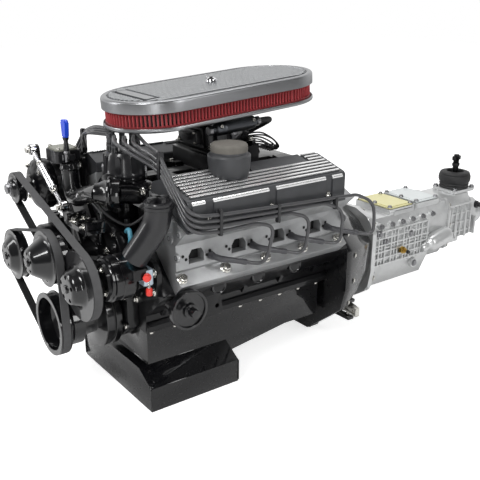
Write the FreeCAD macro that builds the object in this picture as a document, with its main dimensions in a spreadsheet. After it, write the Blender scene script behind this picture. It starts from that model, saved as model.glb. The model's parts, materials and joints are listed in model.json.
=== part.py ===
import FreeCAD, Part
import Sketcher
import math
import os

from FreeCAD import Placement, Rotation, Vector

# V8 engine with gearbox.
# Crank axis along Y, front pulleys towards -Y, gearbox towards +Y, left bank towards +X, up is +Z.
# Inside each body lengths along Y count from the front face of the block, and heights from the crank
# axis. The origin of the whole part lies on the crank axis, level with the engine mounts.

doc = FreeCAD.newDocument("V8Engine")

SIZES = {
    # Cylinder block
    "mount_station": 150.0,
    "block_length": 535.0,
    "bore_pitch": 111.25,
    "bore_radius": 50.8,
    "bore_depth": 128.0,
    "deck_height": 208.4,
    "deck_half_width": 80.0,
    "left_bore_station": 95.6,
    "bank_stagger": 22.0,
    "pan_rail_drop": 22.0,
    "pan_rail_half": 122.0,
    "web_thickness": 24.0,
    "cap_half_width": 52.0,
    "cap_drop": 55.0,
    "mount_hole_spread": 50.0,
    "mount_hole_radius": 5.5,
    "crankcase_radius": 98.0,
    # Crankshaft, camshaft and their drive
    "main_radius": 28.6,
    "snout_radius": 17.5,
    "pin_radius": 27.0,
    "throw": 38.1,
    "crank_cheek": 17.0,
    "counterweight_radius": 84.0,
    "bearing_clearance": 0.05,
    "cam_height": 112.0,
    "cam_journal_radius": 26.0,
    "cam_core_radius": 15.0,
    "lobe_lift": 6.0,
    "crank_sprocket_radius": 29.0,
    "chain_width": 14.0,
    "chain_thickness": 7.0,
    "chain_gap": 0.6,
    # Heads, covers and gaskets
    "gasket_thickness": 1.0,
    "head_length": 475.0,
    "head_front_left": 30.0,
    "port_height": 172.0,
    "port_width": 39.0,
    "port_rise": 31.0,
    "port_depth": 26.0,
    "exhaust_face": 210.0,
    "cover_length": 432.0,
    "cover_seat_gap": 0.3,
    "cover_side_height": 60.0,
    "breather_x": 176.0,
    "breather_station": 190.0,
    "breather_seat": 318.0,
    "fin_height": 5.0,
    "fin_thickness": 5.0,
    "head_bolt_radius": 7.0,
    "bolt_ledge": 35.0,
    "filter_station": 45.0,
    "filter_height_z": 64.0,
    "filter_boss_radius": 24.0,
    # Sump
    "pan_half_width": 170.0,
    "pan_front": -18.0,
    "pan_sump_length": 241.0,
    "pan_bottom": -198.0,
    "pan_wall": 2.5,
    "pan_shallow_bottom": -118.0,
    # Front drive
    "crank_pulley_radius": 68.0,
    "pump_pulley_radius": 58.0,
    "pump_rear_groove_radius": 40.0,
    "cooler_pulley_radius": 56.0,
    "generator_pulley_radius": 32.0,
    "steering_pulley_radius": 71.0,
    "belt_width": 18.0,
    "belt_thickness": 4.0,
    "belt_gap": 0.4,
    "front_belt_station": -162.0,
    "rear_belt_station": -140.0,
    "flange_height": 4.0,
    "damper_radius": 80.0,
    "pump_height": 154.0,
    "cooler_x": -198.0,
    "cooler_z": 104.0,
    "generator_x": -214.0,
    "generator_z": 260.0,
    "steering_x": 118.0,
    "steering_z": 126.0,
    "accessory_shaft_radius": 8.5,
    "cooler_radius": 58.0,
    "generator_radius": 60.0,
    "steering_radius": 50.0,
    # Intake and air cleaner, which lean forward so that they stand level in the car
    "inlet_tilt": 4.1,
    "throttle_box_width": 150.0,
    "throttle_box_length": 130.0,
    "throttle_box_station": 275.0,
    "throttle_box_bottom": 350.0,
    "throttle_box_top": 422.0,
    "throttle_bore": 21.0,
    "throttle_shaft_radius": 5.0,
    "cleaner_station": 275.0,
    "cleaner_half_length": 272.0,
    "cleaner_half_width": 122.0,
    "cleaner_base_z": 432.0,
    "filter_height": 30.0,
    "lid_height": 27.0,
    # Gearbox and clutch housing
    "bell_radius": 206.0,
    "bell_wall": 7.0,
    "bell_length": 165.0,
    "fork_pin_radius": 5.0,
    "flywheel_radius": 138.0,
    "gear_case_length": 385.0,
    "gear_case_half_width": 86.0,
    "tail_length": 230.0,
    "tail_half_width": 60.0,
    "output_radius": 17.0,
    "output_end_radius": 16.0,
    "output_end_length": 10.4,
    "lever_pin_radius": 6.0,
    "lever_station": 1208.0,
    # Distributor and ignition
    "distributor_station": 30.0,
    "distributor_cap_radius": 47.0,
    "distributor_shaft_radius": 6.5,
    "lead_radius": 4.0,
    "plug_radius": 7.0,
}


class Dim:
    """A length together with the spreadsheet formula that gives it."""

    def __init__(self, value, text=None):
        self.value = float(value)
        self.text = text if text is not None else repr(float(value))

    def __add__(self, other):
        other = dim(other)
        return Dim(self.value + other.value, f"({self.text} + {other.text})")

    def __radd__(self, other):
        return dim(other) + self

    def __sub__(self, other):
        other = dim(other)
        return Dim(self.value - other.value, f"({self.text} - {other.text})")

    def __rsub__(self, other):
        return dim(other) - self

    def __mul__(self, other):
        other = dim(other)
        return Dim(self.value * other.value, f"({self.text} * {other.text})")

    def __rmul__(self, other):
        return dim(other) * self

    def __truediv__(self, other):
        other = dim(other)
        return Dim(self.value / other.value, f"({self.text} / {other.text})")

    def __neg__(self):
        return Dim(-self.value, f"(0 - {self.text})")


def dim(length):
    return length if isinstance(length, Dim) else Dim(length)


def make_sheet():
    """Write every driving size into the spreadsheet and return the sizes by name."""
    sheet = doc.addObject("Spreadsheet::Sheet", "Sizes")
    named = {}
    for row, (alias, value) in enumerate(SIZES.items(), start=1):
        sheet.set(f"A{row}", alias)
        sheet.set(f"B{row}", str(value))
        sheet.setAlias(f"B{row}", alias)
        named[alias] = Dim(value, f"Sizes.{alias}")
    doc.recompute()
    return named


S = make_sheet()
NODES = []

BANK_ANGLE = 45.0
ROOT_HALF = math.sqrt(0.5)
LEFT = 1
RIGHT = -1
FILTER_FACE = 201.5
PLUG_HEIGHT = 165.0
PLUG_REACH = 22.0


def bind(target, path, length):
    """Give a property its value, by formula when it hangs on the spreadsheet."""
    length = dim(length)
    if "Sizes" in length.text:
        target.setExpression(path, length.text)
    else:
        target.setExpression(path, repr(length.value))


def keep(node, label, tilted=False):
    """Name a finished sub-part and place it in the part's own frame.

    A tilted one is turned with the throttle body about the middle of the manifold's pad."""
    node.Label = label
    shift_y = -S["mount_station"]
    shift_z = dim(0)
    if tilted:
        angle = S["inlet_tilt"].value
        node.Placement = Placement(Vector(), Rotation(Vector(1, 0, 0), angle))
        cosine = math.cos(math.radians(angle))
        sine = math.sin(math.radians(angle))
        station = S["throttle_box_station"]
        height = S["throttle_box_bottom"]
        shift_y = shift_y + station * (1 - cosine) + height * sine
        shift_z = height * (1 - cosine) - station * sine
    bind(node, "Placement.Base.y", shift_y)
    bind(node, "Placement.Base.z", shift_z)
    NODES.append(node)
    return node


# Building steps shared by the sub-parts

PLANES = {"XY": "XY_Plane", "XZ": "XZ_Plane", "YZ": "YZ_Plane"}


def new_body(name):
    return doc.addObject("PartDesign::Body", name)


def new_sketch(body, plane, x=0, y=0, z=0, turn=None):
    """Start a sketch on a plane of the body that passes through the point x, y, z."""
    sketch = body.newObject("Sketcher::SketchObject", "Sketch")
    for feature in body.Origin.OriginFeatures:
        if feature.Role == PLANES[plane]:
            sketch.AttachmentSupport = [(feature, "")]
    sketch.MapMode = "FlatFace"
    local = {"XY": (x, y, z), "XZ": (x, z, -dim(y)), "YZ": (y, z, x)}[plane]
    if turn is not None:
        sketch.AttachmentOffset = Placement(Vector(), turn)
    for axis, length in zip("xyz", local):
        bind(sketch, f"AttachmentOffset.Base.{axis}", length)
    return sketch


def fix_point(sketch, geometry, end, point):
    """Hold one point of a sketch at its two distances from the sketch's origin."""
    for kind, length in zip(("DistanceX", "DistanceY"), point):
        length = dim(length)
        index = sketch.addConstraint(Sketcher.Constraint(kind, -1, 1, geometry, end, length.value))
        if "Sizes" in length.text:
            sketch.setExpression(f"Constraints[{index}]", length.text)


def draw_polygon(sketch, points):
    """Draw a closed outline of straight edges."""
    count = len(points)
    first = sketch.GeometryCount
    corners = [Vector(dim(x).value, dim(y).value, 0) for x, y in points]
    for index in range(count):
        sketch.addGeometry(Part.LineSegment(corners[index], corners[(index + 1) % count]))
    for index in range(count):
        following = first + (index + 1) % count
        sketch.addConstraint(Sketcher.Constraint("Coincident", first + index, 2, following, 1))
    for index, point in enumerate(points):
        fix_point(sketch, first + index, 1, point)


def draw_circle(sketch, x, y, radius):
    radius = dim(radius)
    centre = Vector(dim(x).value, dim(y).value, 0)
    circle = sketch.addGeometry(Part.Circle(centre, Vector(0, 0, 1), radius.value))
    index = sketch.addConstraint(Sketcher.Constraint("Radius", circle, radius.value))
    if "Sizes" in radius.text:
        sketch.setExpression(f"Constraints[{index}]", radius.text)
    fix_point(sketch, circle, 3, (x, y))


def feature(body, kind, sketch, length=None, backwards=False):
    made = body.newObject(f"PartDesign::{kind}", kind)
    made.Profile = sketch
    made.Reversed = backwards
    if length is not None:
        bind(made, "Length", length)
    sketch.Visibility = False
    return made


def prism(body, plane, points, start, end, cut=False):
    """Extrude or cut an outline from start to end, square to its plane, in the plus direction."""
    kind = "Pocket" if cut else "Pad"
    at = {"XY": {"z": start}, "XZ": {"y": start}, "YZ": {"x": start}}[plane]
    sketch = new_sketch(body, plane, **at)
    draw_polygon(sketch, points)
    return feature(body, kind, sketch, dim(end) - start, backwards=(plane == "XZ") != cut)


def rods(body, plane, circles, start, end, cut=False):
    """Extrude or cut a set of circles from start to end, square to their plane."""
    kind = "Pocket" if cut else "Pad"
    at = {"XY": {"z": start}, "XZ": {"y": start}, "YZ": {"x": start}}[plane]
    sketch = new_sketch(body, plane, **at)
    for x, y, radius in circles:
        draw_circle(sketch, x, y, radius)
    return feature(body, kind, sketch, dim(end) - start, backwards=(plane == "XZ") != cut)


def turned(body, along, points, x=0, y=0, z=0, cut=False):
    """Revolve an outline of (radius, distance along) about an axis through x, y, z."""
    kind = "Groove" if cut else "Revolution"
    plane = {"X": "XZ", "Y": "XY", "Z": "XZ"}[along]
    sketch = new_sketch(body, plane, x, y, z)
    if along == "X":
        points = [(distance, radius) for radius, distance in points]
    draw_polygon(sketch, points)
    made = feature(body, kind, sketch)
    made.ReferenceAxis = (sketch, ["H_Axis" if along == "X" else "V_Axis"])
    made.Angle = 360.0
    return made


def block_points(x0, x1, y0, y1):
    return [(x0, y0), (x1, y0), (x1, y1), (x0, y1)]


def bank_point(side, across, up):
    """Place in the XZ plane of a point given across and along the cylinder axes of a bank."""
    x = (dim(across) + up) * (ROOT_HALF * side)
    z = (dim(up) - across) * ROOT_HALF
    return x, z


def bank_rods(body, side, circles, start, end, cut=False):
    """Extrude or cut circles along the cylinder axes of a bank; circles lie at (across, Y)."""
    kind = "Pocket" if cut else "Pad"
    x, z = bank_point(side, 0, start)
    turn = Rotation(Vector(0, 1, 0), BANK_ANGLE * side)
    sketch = new_sketch(body, "XY", x, 0, z, turn)
    for across, station, radius in circles:
        draw_circle(sketch, dim(across) * side, station, radius)
    return feature(body, kind, sketch, dim(end) - start, backwards=cut)


def bank_shift(side):
    """How far forward the pieces of a bank stand of those of the left bank."""
    return dim(0) if side == LEFT else -S["bank_stagger"]


def bore_stations(side):
    return [S["left_bore_station"] + bank_shift(side) + S["bore_pitch"] * index for index in range(4)]


def bolt_stations(side):
    return [station - S["bore_pitch"] / 2 for station in bore_stations(side)] + \
        [bore_stations(side)[3] + S["bore_pitch"] / 2]


def side_name(side):
    return "left" if side == LEFT else "right"


def mirrored(side, points):
    return [(dim(x) * side, z) for x, z in points]


# Cylinder block, crankshaft and camshaft

def web_stations():
    """Middle of each of the five main bearing webs."""
    half = S["block_length"] / 2
    pitch = (S["block_length"] - S["web_thickness"]) / 4
    return [half + pitch * (index - 2) for index in range(5)]


def engine_block():
    body = new_body("Block")
    rail = S["pan_rail_half"]
    outline = [(-rail, -S["pan_rail_drop"]), (rail, -S["pan_rail_drop"]), (rail + 6, 20)]
    outline += [bank_point(LEFT, S["deck_half_width"], S["deck_height"] - 70)]
    outline += [bank_point(LEFT, S["deck_half_width"], S["deck_height"])]
    outline += [bank_point(LEFT, -S["deck_half_width"], S["deck_height"])]
    outline += [bank_point(LEFT, -S["deck_half_width"], S["deck_height"] - 62)]
    outline += [bank_point(RIGHT, -S["deck_half_width"], S["deck_height"] - 62)]
    outline += [bank_point(RIGHT, -S["deck_half_width"], S["deck_height"])]
    outline += [bank_point(RIGHT, S["deck_half_width"], S["deck_height"])]
    outline += [bank_point(RIGHT, S["deck_half_width"], S["deck_height"] - 70)]
    outline += [(-rail - 6, 20)]
    prism(body, "XZ", outline, 0, S["block_length"])
    webs = web_stations()
    cap_half = S["web_thickness"] / 2
    for station in webs:
        cap = block_points(-S["cap_half_width"], S["cap_half_width"], -S["cap_drop"], 0)
        prism(body, "XZ", cap, station - cap_half, station + cap_half)
    rods(body, "YZ", [(S["filter_station"], S["filter_height_z"], S["filter_boss_radius"])], 100, FILTER_FACE)
    for index in range(4):
        start = webs[index] + S["web_thickness"] / 2
        end = webs[index + 1] - S["web_thickness"] / 2
        rods(body, "XZ", [(0, 0, S["crankcase_radius"])], start, end, cut=True)
    for side in (LEFT, RIGHT):
        bores = [(0, station, S["bore_radius"]) for station in bore_stations(side)]
        bank_rods(body, side, bores, S["deck_height"] - S["bore_depth"], S["deck_height"], cut=True)
    clearance = S["bearing_clearance"]
    rods(body, "XZ", [(0, 0, S["main_radius"] + clearance)], 0, S["block_length"], cut=True)
    tunnel = [(0, S["cam_height"], S["cam_journal_radius"] + clearance)]
    rods(body, "XZ", tunnel, 0, S["block_length"], cut=True)
    shaft_hole = S["distributor_shaft_radius"] + clearance
    rods(body, "XY", [(0, S["distributor_station"], shaft_hole)], S["cam_height"], S["deck_height"], cut=True)
    for side in (LEFT, RIGHT):
        mount_pad(body, side)
        core_plugs(body, side)
    keep(body, "engine_block")


def crank_throws():
    """The turn angle of each of the four crank throws."""
    return [0, 90, 270, 180]


def crankshaft():
    body = new_body("Crankshaft")
    rods(body, "XZ", [(0, 0, S["snout_radius"])], -112, 4)
    rods(body, "XZ", [(0, 0, S["main_radius"])], 0, S["block_length"] + 8)
    webs = web_stations()
    for index, angle in enumerate(crank_throws()):
        start = webs[index] + S["web_thickness"] / 2 + 1
        end = webs[index + 1] - S["web_thickness"] / 2 - 1
        turn = math.radians(angle)
        across = S["throw"] * math.sin(turn)
        height = S["throw"] * math.cos(turn)
        rods(body, "XZ", [(across, height, S["pin_radius"])], start, end)
        for first, last in ((start, start + S["crank_cheek"]), (end - S["crank_cheek"], end)):
            prism(body, "XZ", cheek_outline(angle), first, last)
    rods(body, "XZ", [(0, 0, S["main_radius"] + 9)], S["block_length"] + 1, S["block_length"] + 14)
    keep(body, "crankshaft")


def cheek_outline(angle):
    """Outline of a crank cheek: a counterweight fan on one side and the pin lobe on the other."""
    points = []
    for degrees in (115, 130, 145, 160, 180, 200, 215, 230, 245):
        points.append((S["counterweight_radius"], degrees))
    for degrees in (-38, -20, 0, 20, 38):
        points.append((S["throw"] + S["pin_radius"] + 3 - abs(degrees) * 0.16, degrees))
    outline = []
    for radius, degrees in points:
        direction = math.radians(degrees + angle)
        outline.append((radius * math.sin(direction), radius * math.cos(direction)))
    return outline


def sprocket_teeth(body, z, pitch_radius, count, start, end):
    """Cut the gaps between the teeth into the rim of a sprocket."""
    gaps = []
    for index in range(count):
        turn = 2 * math.pi * index / count
        gaps.append((pitch_radius * math.sin(turn), z + pitch_radius * math.cos(turn), 3.2))
    rods(body, "XZ", gaps, start, end, cut=True)


def crank_sprocket():
    body = new_body("CrankSprocket")
    rim = S["crank_sprocket_radius"]
    rods(body, "XZ", [(0, 0, rim)], -20, -20 + S["chain_width"])
    rods(body, "XZ", [(0, 0, rim + 5)], -6, -1)
    sprocket_teeth(body, dim(0), rim + 0.4, 12, -20, -20 + S["chain_width"])
    rods(body, "XZ", [(0, 0, S["snout_radius"])], -20, -1, cut=True)
    keep(body, "crank_sprocket")


def cam_sprocket():
    body = new_body("CamSprocket")
    rim = S["crank_sprocket_radius"] * 2
    height = S["cam_height"]
    rods(body, "XZ", [(0, height, rim)], -20, -20 + S["chain_width"])
    sprocket_teeth(body, height, rim + 0.4, 24, -20, -20 + S["chain_width"])
    windows = []
    for index in range(5):
        turn = 2 * math.pi * index / 5
        windows.append((rim * 0.62 * math.sin(turn), height + rim * 0.62 * math.cos(turn), 9))
    rods(body, "XZ", windows, -20, -20 + S["chain_width"], cut=True)
    rods(body, "XZ", [(0, height, S["cam_core_radius"])], -20, -20 + S["chain_width"], cut=True)
    keep(body, "cam_sprocket")


def camshaft():
    body = new_body("Camshaft")
    height = S["cam_height"]
    rods(body, "XZ", [(0, height, S["cam_core_radius"])], -20, S["block_length"] - 4)
    for station in web_stations():
        first = station - 11
        rods(body, "XZ", [(0, height, S["cam_journal_radius"])], first, first + 20)
    lobes = [(index, side) for index in range(4) for side in (0, 1, 2, 3)]
    webs = web_stations()
    for index, place in lobes:
        start = webs[index] + S["web_thickness"] / 2 + 12 + place * 21
        turn = math.radians(90 * index + 105 * place)
        lift = S["lobe_lift"]
        nose = (lift * math.sin(turn), height + lift * math.cos(turn), S["cam_core_radius"] + 2)
        rods(body, "XZ", [nose], start, start + 12)
    keep(body, "camshaft")


def band(wheels, thickness, start, width):
    """A closed flat band laid round wheels given as (x, z, radius), in turning order."""
    count = len(wheels)
    shapes = []
    for grow in (thickness, 0.0):
        edges = []
        tangents = []
        for index in range(count):
            x0, z0, r0 = wheels[index]
            x1, z1, r1 = wheels[(index + 1) % count]
            r0 = r0 + grow
            r1 = r1 + grow
            length = math.hypot(x1 - x0, z1 - z0)
            heading = math.atan2(z1 - z0, x1 - x0)
            normal = heading - math.pi / 2 + math.asin((r1 - r0) / length) * -1
            tangents.append((Vector(x0 + r0 * math.cos(normal), start, z0 + r0 * math.sin(normal)),
                             Vector(x1 + r1 * math.cos(normal), start, z1 + r1 * math.sin(normal)),
                             normal))
        for index in range(count):
            leave, arrive, normal = tangents[index]
            edges.append(Part.LineSegment(leave, arrive).toShape())
            x1, z1, r1 = wheels[(index + 1) % count]
            r1 = r1 + grow
            next_normal = tangents[(index + 1) % count][2]
            while next_normal < normal:
                next_normal += 2 * math.pi
            middle = (normal + next_normal) / 2
            through = Vector(x1 + r1 * math.cos(middle), start, z1 + r1 * math.sin(middle))
            edges.append(Part.Arc(arrive, through, tangents[(index + 1) % count][0]).toShape())
        wire = Part.Wire(edges)
        shapes.append(Part.Face(wire).extrude(Vector(0, width, 0)))
    return shapes[0].cut(shapes[1])


def shape_node(name, label, shape, tilted=False):
    node = doc.addObject("Part::Feature", name)
    node.Shape = shape
    return keep(node, label, tilted)


def timing_chain():
    gap = S["chain_gap"].value
    rim = S["crank_sprocket_radius"].value + gap
    wheels = [(0.0, 0.0, rim), (0.0, S["cam_height"].value, rim * 2 - gap)]
    shape_node("Chain", "timing_chain", band(wheels, S["chain_thickness"].value, -20, S["chain_width"].value))


# Heads, gaskets, covers and their bolts

def head_outline():
    """Cross-section of the left cylinder head: deck, bolt ledge, exhaust face, cover rail, inlet face."""
    deck = S["deck_height"] + S["gasket_thickness"]
    half = S["deck_half_width"]
    face = S["exhaust_face"]
    return [
        bank_point(LEFT, half, deck),
        bank_point(LEFT, half, deck + S["bolt_ledge"]),
        (face - 5, 140),
        (face, 146),
        (face, 203),
        (247, 238),
        (104, 297),
        bank_point(LEFT, -half, deck),
    ]


def head_front(side):
    return S["head_front_left"] + bank_shift(side)


def cylinder_head(side):
    body = new_body("Head")
    front = head_front(side)
    prism(body, "XZ", mirrored(side, head_outline()), front, front + S["head_length"])
    for station in bore_stations(side):
        exhaust_port(body, side, station - 14.6)
    seats = [(station + PLUG_REACH, PLUG_HEIGHT, S["plug_radius"] + 1.5) for station in bore_stations(side)]
    face = S["exhaust_face"] * side
    start = face - 6 if side == LEFT else face
    rods(body, "YZ", seats, start, start + 6, cut=True)
    keep(body, f"cylinder_head_{side_name(side)}")


def exhaust_port(body, side, station):
    """Cut one exhaust port: a flat floor with a rounded roof."""
    half = S["port_width"] / 2
    bottom = S["port_height"] - S["port_rise"] / 2
    shoulder = S["port_rise"] * 0.6
    roof = [(station - half, bottom), (station + half, bottom), (station + half, bottom + shoulder),
            (station + half * 0.6, bottom + S["port_rise"]), (station - half * 0.6, bottom + S["port_rise"]),
            (station - half, bottom + shoulder)]
    face = S["exhaust_face"] * side
    start = face - S["port_depth"] if side == LEFT else face
    prism(body, "YZ", roof, start, start + S["port_depth"], cut=True)


def head_gaskets():
    body = new_body("Gaskets")
    deck = S["deck_height"]
    half = S["deck_half_width"]
    outline = [bank_point(LEFT, half, deck), bank_point(LEFT, half, deck + S["gasket_thickness"]),
               bank_point(LEFT, -half, deck + S["gasket_thickness"]), bank_point(LEFT, -half, deck)]
    for side in (LEFT, RIGHT):
        front = head_front(side)
        prism(body, "XZ", mirrored(side, outline), front, front + S["head_length"])
    for side in (LEFT, RIGHT):
        bores = [(0, station, S["bore_radius"] + 0.5) for station in bore_stations(side)]
        bank_rods(body, side, bores, deck, deck + S["gasket_thickness"], cut=True)
    keep(body, "head_gaskets")


def head_bolts():
    """The five lower bolts of each head, seen below the exhaust ports."""
    body = new_body("HeadBolts")
    ledge = S["deck_height"] + S["gasket_thickness"] + S["bolt_ledge"]
    for side in (LEFT, RIGHT):
        washers = [(62, station, S["head_bolt_radius"] + 5) for station in bolt_stations(side)]
        bank_rods(body, side, washers, ledge, ledge + 3)
        heads = [(62, station, S["head_bolt_radius"] + 2.5) for station in bolt_stations(side)]
        bank_rods(body, side, heads, ledge + 3, ledge + 13)
    keep(body, "head_bolts")


def cover_outline():
    """Cross-section of the left valve cover, standing on the head's cover rail."""
    lift = S["cover_seat_gap"]
    side_top = S["cover_side_height"]
    return [
        (247, lift + 238),
        (252, lift + 240),
        (252, side_top + 240),
        (247, side_top + 247),
        (150, 333),
        (110, 318),
        (104, lift + 297),
    ]


def valve_cover(side):
    body = new_body("ValveCover")
    front = head_front(side) + 6
    outline = cover_outline()
    prism(body, "XZ", mirrored(side, outline), front, front + S["cover_length"])
    slope = (333 - 307) / (247 - 150)
    fin_count = 8
    for index in range(fin_count):
        x = 244 - index * 12.2
        base = 333 - (x - 150) * slope
        run = S["fin_thickness"]
        fin = [(x, base - 3), (x, base + S["fin_height"]), (x - run, base + S["fin_height"] + run * slope),
               (x - run, base - 3)]
        prism(body, "XZ", mirrored(side, fin), front + 12, front + S["cover_length"] - 12)
    if side == LEFT:
        seat = [(S["breather_x"], S["breather_station"], 43)]
        rods(body, "XY", seat, S["breather_seat"], S["breather_seat"] + 24, cut=True)
    for station in cover_bolt_stations(side):
        channel = [(239, station - 9), (253, station - 9), (253, station + 9), (239, station + 9)]
        prism(body, "XY", mirrored(side, channel), 256, 320, cut=True)
    bolts = [(dim(245.5) * side, station, 4.5) for station in cover_bolt_stations(side)]
    rods(body, "XY", bolts, 255, 268)
    keep(body, f"valve_cover_{side_name(side)}")


def cover_bolt_stations(side):
    front = head_front(side) + 6
    return [front + S["cover_length"] * share for share in (0.12, 0.5, 0.88)]


def breather():
    """Filter canister that stands in the left valve cover."""
    body = new_body("Breather")
    base = S["breather_seat"] + 0.3
    outline = [(0, base), (39, base), (40, base + 3), (47, base + 44), (47, base + 51), (40, base + 54),
               (40, base + 72), (37, base + 76), (0, base + 76)]
    turned(body, "Z", outline, x=S["breather_x"], y=S["breather_station"])
    keep(body, "breather")


# Sump and lower block fittings

def oil_pan():
    body = new_body("Pan")
    rail = S["pan_rail_half"]
    top = -S["pan_rail_drop"] - 0.5
    wide = S["pan_half_width"]
    front = S["pan_front"]
    rear = front + S["pan_sump_length"]
    bottom = S["pan_bottom"]
    end = S["block_length"] - 4
    trunk = rail - 5
    prism(body, "XZ", block_points(-rail, rail, top - 4, top), 2, end)
    prism(body, "XZ", block_points(-trunk, trunk, -130, top), 6, rear - 20)
    wings = [(-wide, bottom), (wide, bottom), (wide, -139), (trunk, -108), (-trunk, -108), (-wide, -139)]
    prism(body, "XZ", wings, front, rear)
    shallow = [(rear - 40, top), (rear - 40, -150), (end - 120, S["pan_shallow_bottom"]),
               (end - 10, S["pan_shallow_bottom"]), (end - 10, top)]
    prism(body, "YZ", shallow, -trunk, trunk)
    wall = S["pan_wall"]
    inner = trunk - wall
    prism(body, "XZ", block_points(-inner, inner, -140, top), 6 + wall, rear - 20 - wall, cut=True)
    hollow = [(-wide + wall, bottom + wall), (wide - wall, bottom + wall), (wide - wall, -139 - wall),
              (inner, -108 - wall), (-inner, -108 - wall), (-wide + wall, -139 - wall)]
    prism(body, "XZ", hollow, front + wall, rear - wall, cut=True)
    trough = [(rear - 50, top), (rear - 50, -140), (end - 120 - wall, S["pan_shallow_bottom"] + wall),
              (end - 10 - wall, S["pan_shallow_bottom"] + wall), (end - 10 - wall, top)]
    prism(body, "YZ", trough, -inner, inner, cut=True)
    notch = block_points(-S["cap_half_width"] - 0.5, S["cap_half_width"] + 0.5, -S["cap_drop"] - 0.5, top)
    prism(body, "XZ", notch, 0, 30, cut=True)
    prism(body, "XZ", notch, end - 30, end, cut=True)
    keep(body, "oil_pan")


def filter_adapter():
    """Oil filter seat with its threaded stud, bolted to the boss on the left front of the block."""
    body = new_body("FilterAdapter")
    face = FILTER_FACE + 0.3
    profile = [(0, face), (22, face), (22, face + 8), (36, face + 18), (44, face + 20), (44, face + 38),
               (38, face + 38), (38, face + 32), (16, face + 32), (16, face + 42), (10, face + 42),
               (10, face + 62), (0, face + 62)]
    turned(body, "X", profile, y=S["filter_station"], z=S["filter_height_z"])
    keep(body, "oil_filter_adapter")


def mount_pad(body, side):
    """Machined pad on the side of the block with two tapped holes for the engine mount."""
    station = S["mount_station"]
    inner = (S["pan_rail_half"] - 4) * side
    outer = (S["pan_rail_half"] + 28) * side
    pad = [(station - 42, -14), (station + 42, -14), (station + 34, 40), (station - 34, 40)]
    first, last = (inner, outer) if side == LEFT else (outer, inner)
    prism(body, "YZ", pad, first, last)
    spread = S["mount_hole_spread"] / 2
    holes = [(station - spread, 8, S["mount_hole_radius"]), (station + spread, 8, S["mount_hole_radius"])]
    rods(body, "YZ", holes, first, last, cut=True)


def core_plugs(body, side):
    """Round plugs that close the core holes in the side of the water jacket."""
    circles = []
    for index in range(3):
        station = S["left_bore_station"] + bank_shift(side) + S["bore_pitch"] * (index + 0.5)
        circles.append((station, 78, 19))
    start, end = (176, 193) if side == LEFT else (-193, -176)
    rods(body, "YZ", circles, start, end)


# Timing cover, water pump and front drive

def timing_cover():
    body = new_body("TimingCover")
    outline = [(-60, -46), (60, -46), (96, -16), (94, 60), (84, 150), (48, 200), (-48, 200), (-84, 150),
               (-94, 60), (-96, -16)]
    prism(body, "XZ", outline, -28, -0.3)
    inner = [(-42, -42), (42, -42), (60, 30), (74, 92), (74, 136), (42, 184), (-42, 184), (-74, 136),
             (-74, 92), (-60, 30)]
    prism(body, "XZ", inner, -24, -0.3, cut=True)
    rods(body, "XZ", [(0, 0, S["snout_radius"] + 0.4)], -28, -20, cut=True)
    keep(body, "timing_cover")


def water_pump():
    body = new_body("WaterPump")
    height = S["pump_height"]
    turned(body, "Y", [(0, -28.3), (62, -28.3), (58, -50), (34, -62), (26, -84), (26, -96), (0, -96)], z=height)
    for side in (LEFT, RIGHT):
        reach = 60 if side == LEFT else 92
        branch = mirrored(side, [(30, 120), (reach, 94), (reach, 128), (34, 188)])
        prism(body, "XZ", branch, -52, -28.3)
    prism(body, "XZ", [(-22, 165), (22, 165), (-40, 256), (-66, 246)], -90.7, -84)
    bore = S["accessory_shaft_radius"] + S["bearing_clearance"]
    rods(body, "XZ", [(0, height, bore)], -96, -60, cut=True)
    keep(body, "water_pump")


def groove_pulley(label, x, z, grooves, nose, shaft_back, holes=5):
    """A belt pulley with flanged flat grooves, a bowl-shaped nose and a shaft behind it.

    grooves lists the middle and the radius of each belt groove, from the front; nose gives the front of
    the bowl, its radius there and its radius where it meets the rim."""
    body = new_body("Pulley")
    nose_y, nose_radius, root = nose
    half = S["belt_width"] / 2 + 0.5
    lip = 1
    last_radius = grooves[-1][1]
    front = grooves[0][0] - half - lip
    back = grooves[-1][0] + half + lip
    outline = [(0, nose_y), (nose_radius, nose_y), (root, front)]
    for station, groove in grooves:
        rim = groove + S["flange_height"]
        outline += [(rim, station - half - lip), (rim, station - half), (groove, station - half)]
        outline += [(groove, station + half), (rim, station + half), (rim, station + half + lip)]
    shaft = S["accessory_shaft_radius"]
    hub = shaft + 6
    outline += [(last_radius - 7, back), (last_radius - 7, front + 9), (root - 5, front + 9),
                (nose_radius - 4, nose_y + 6), (hub, nose_y + 6), (hub, back), (shaft, back),
                (shaft, shaft_back), (0, shaft_back)]
    turned(body, "Y", outline, x=x, z=z)
    if holes:
        ring = []
        for index in range(holes):
            turn = 2 * math.pi * index / holes
            spread = nose_radius * 0.75
            ring.append((dim(x) + spread * math.sin(turn), dim(z) + spread * math.cos(turn), nose_radius * 0.14))
        rods(body, "XZ", ring, nose_y - 1, nose_y + 8, cut=True)
    keep(body, label)


def crank_damper():
    body = new_body("Damper")
    rim = S["damper_radius"]
    hub = S["snout_radius"]
    outline = [(hub, -112), (44, -112), (44, -76), (rim, -70), (rim, -52), (rim - 3, -51), (rim - 3, -49),
               (rim, -48), (rim, -32), (42, -32), (42, -29), (hub, -29)]
    turned(body, "Y", outline)
    keep(body, "crank_damper")


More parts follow.
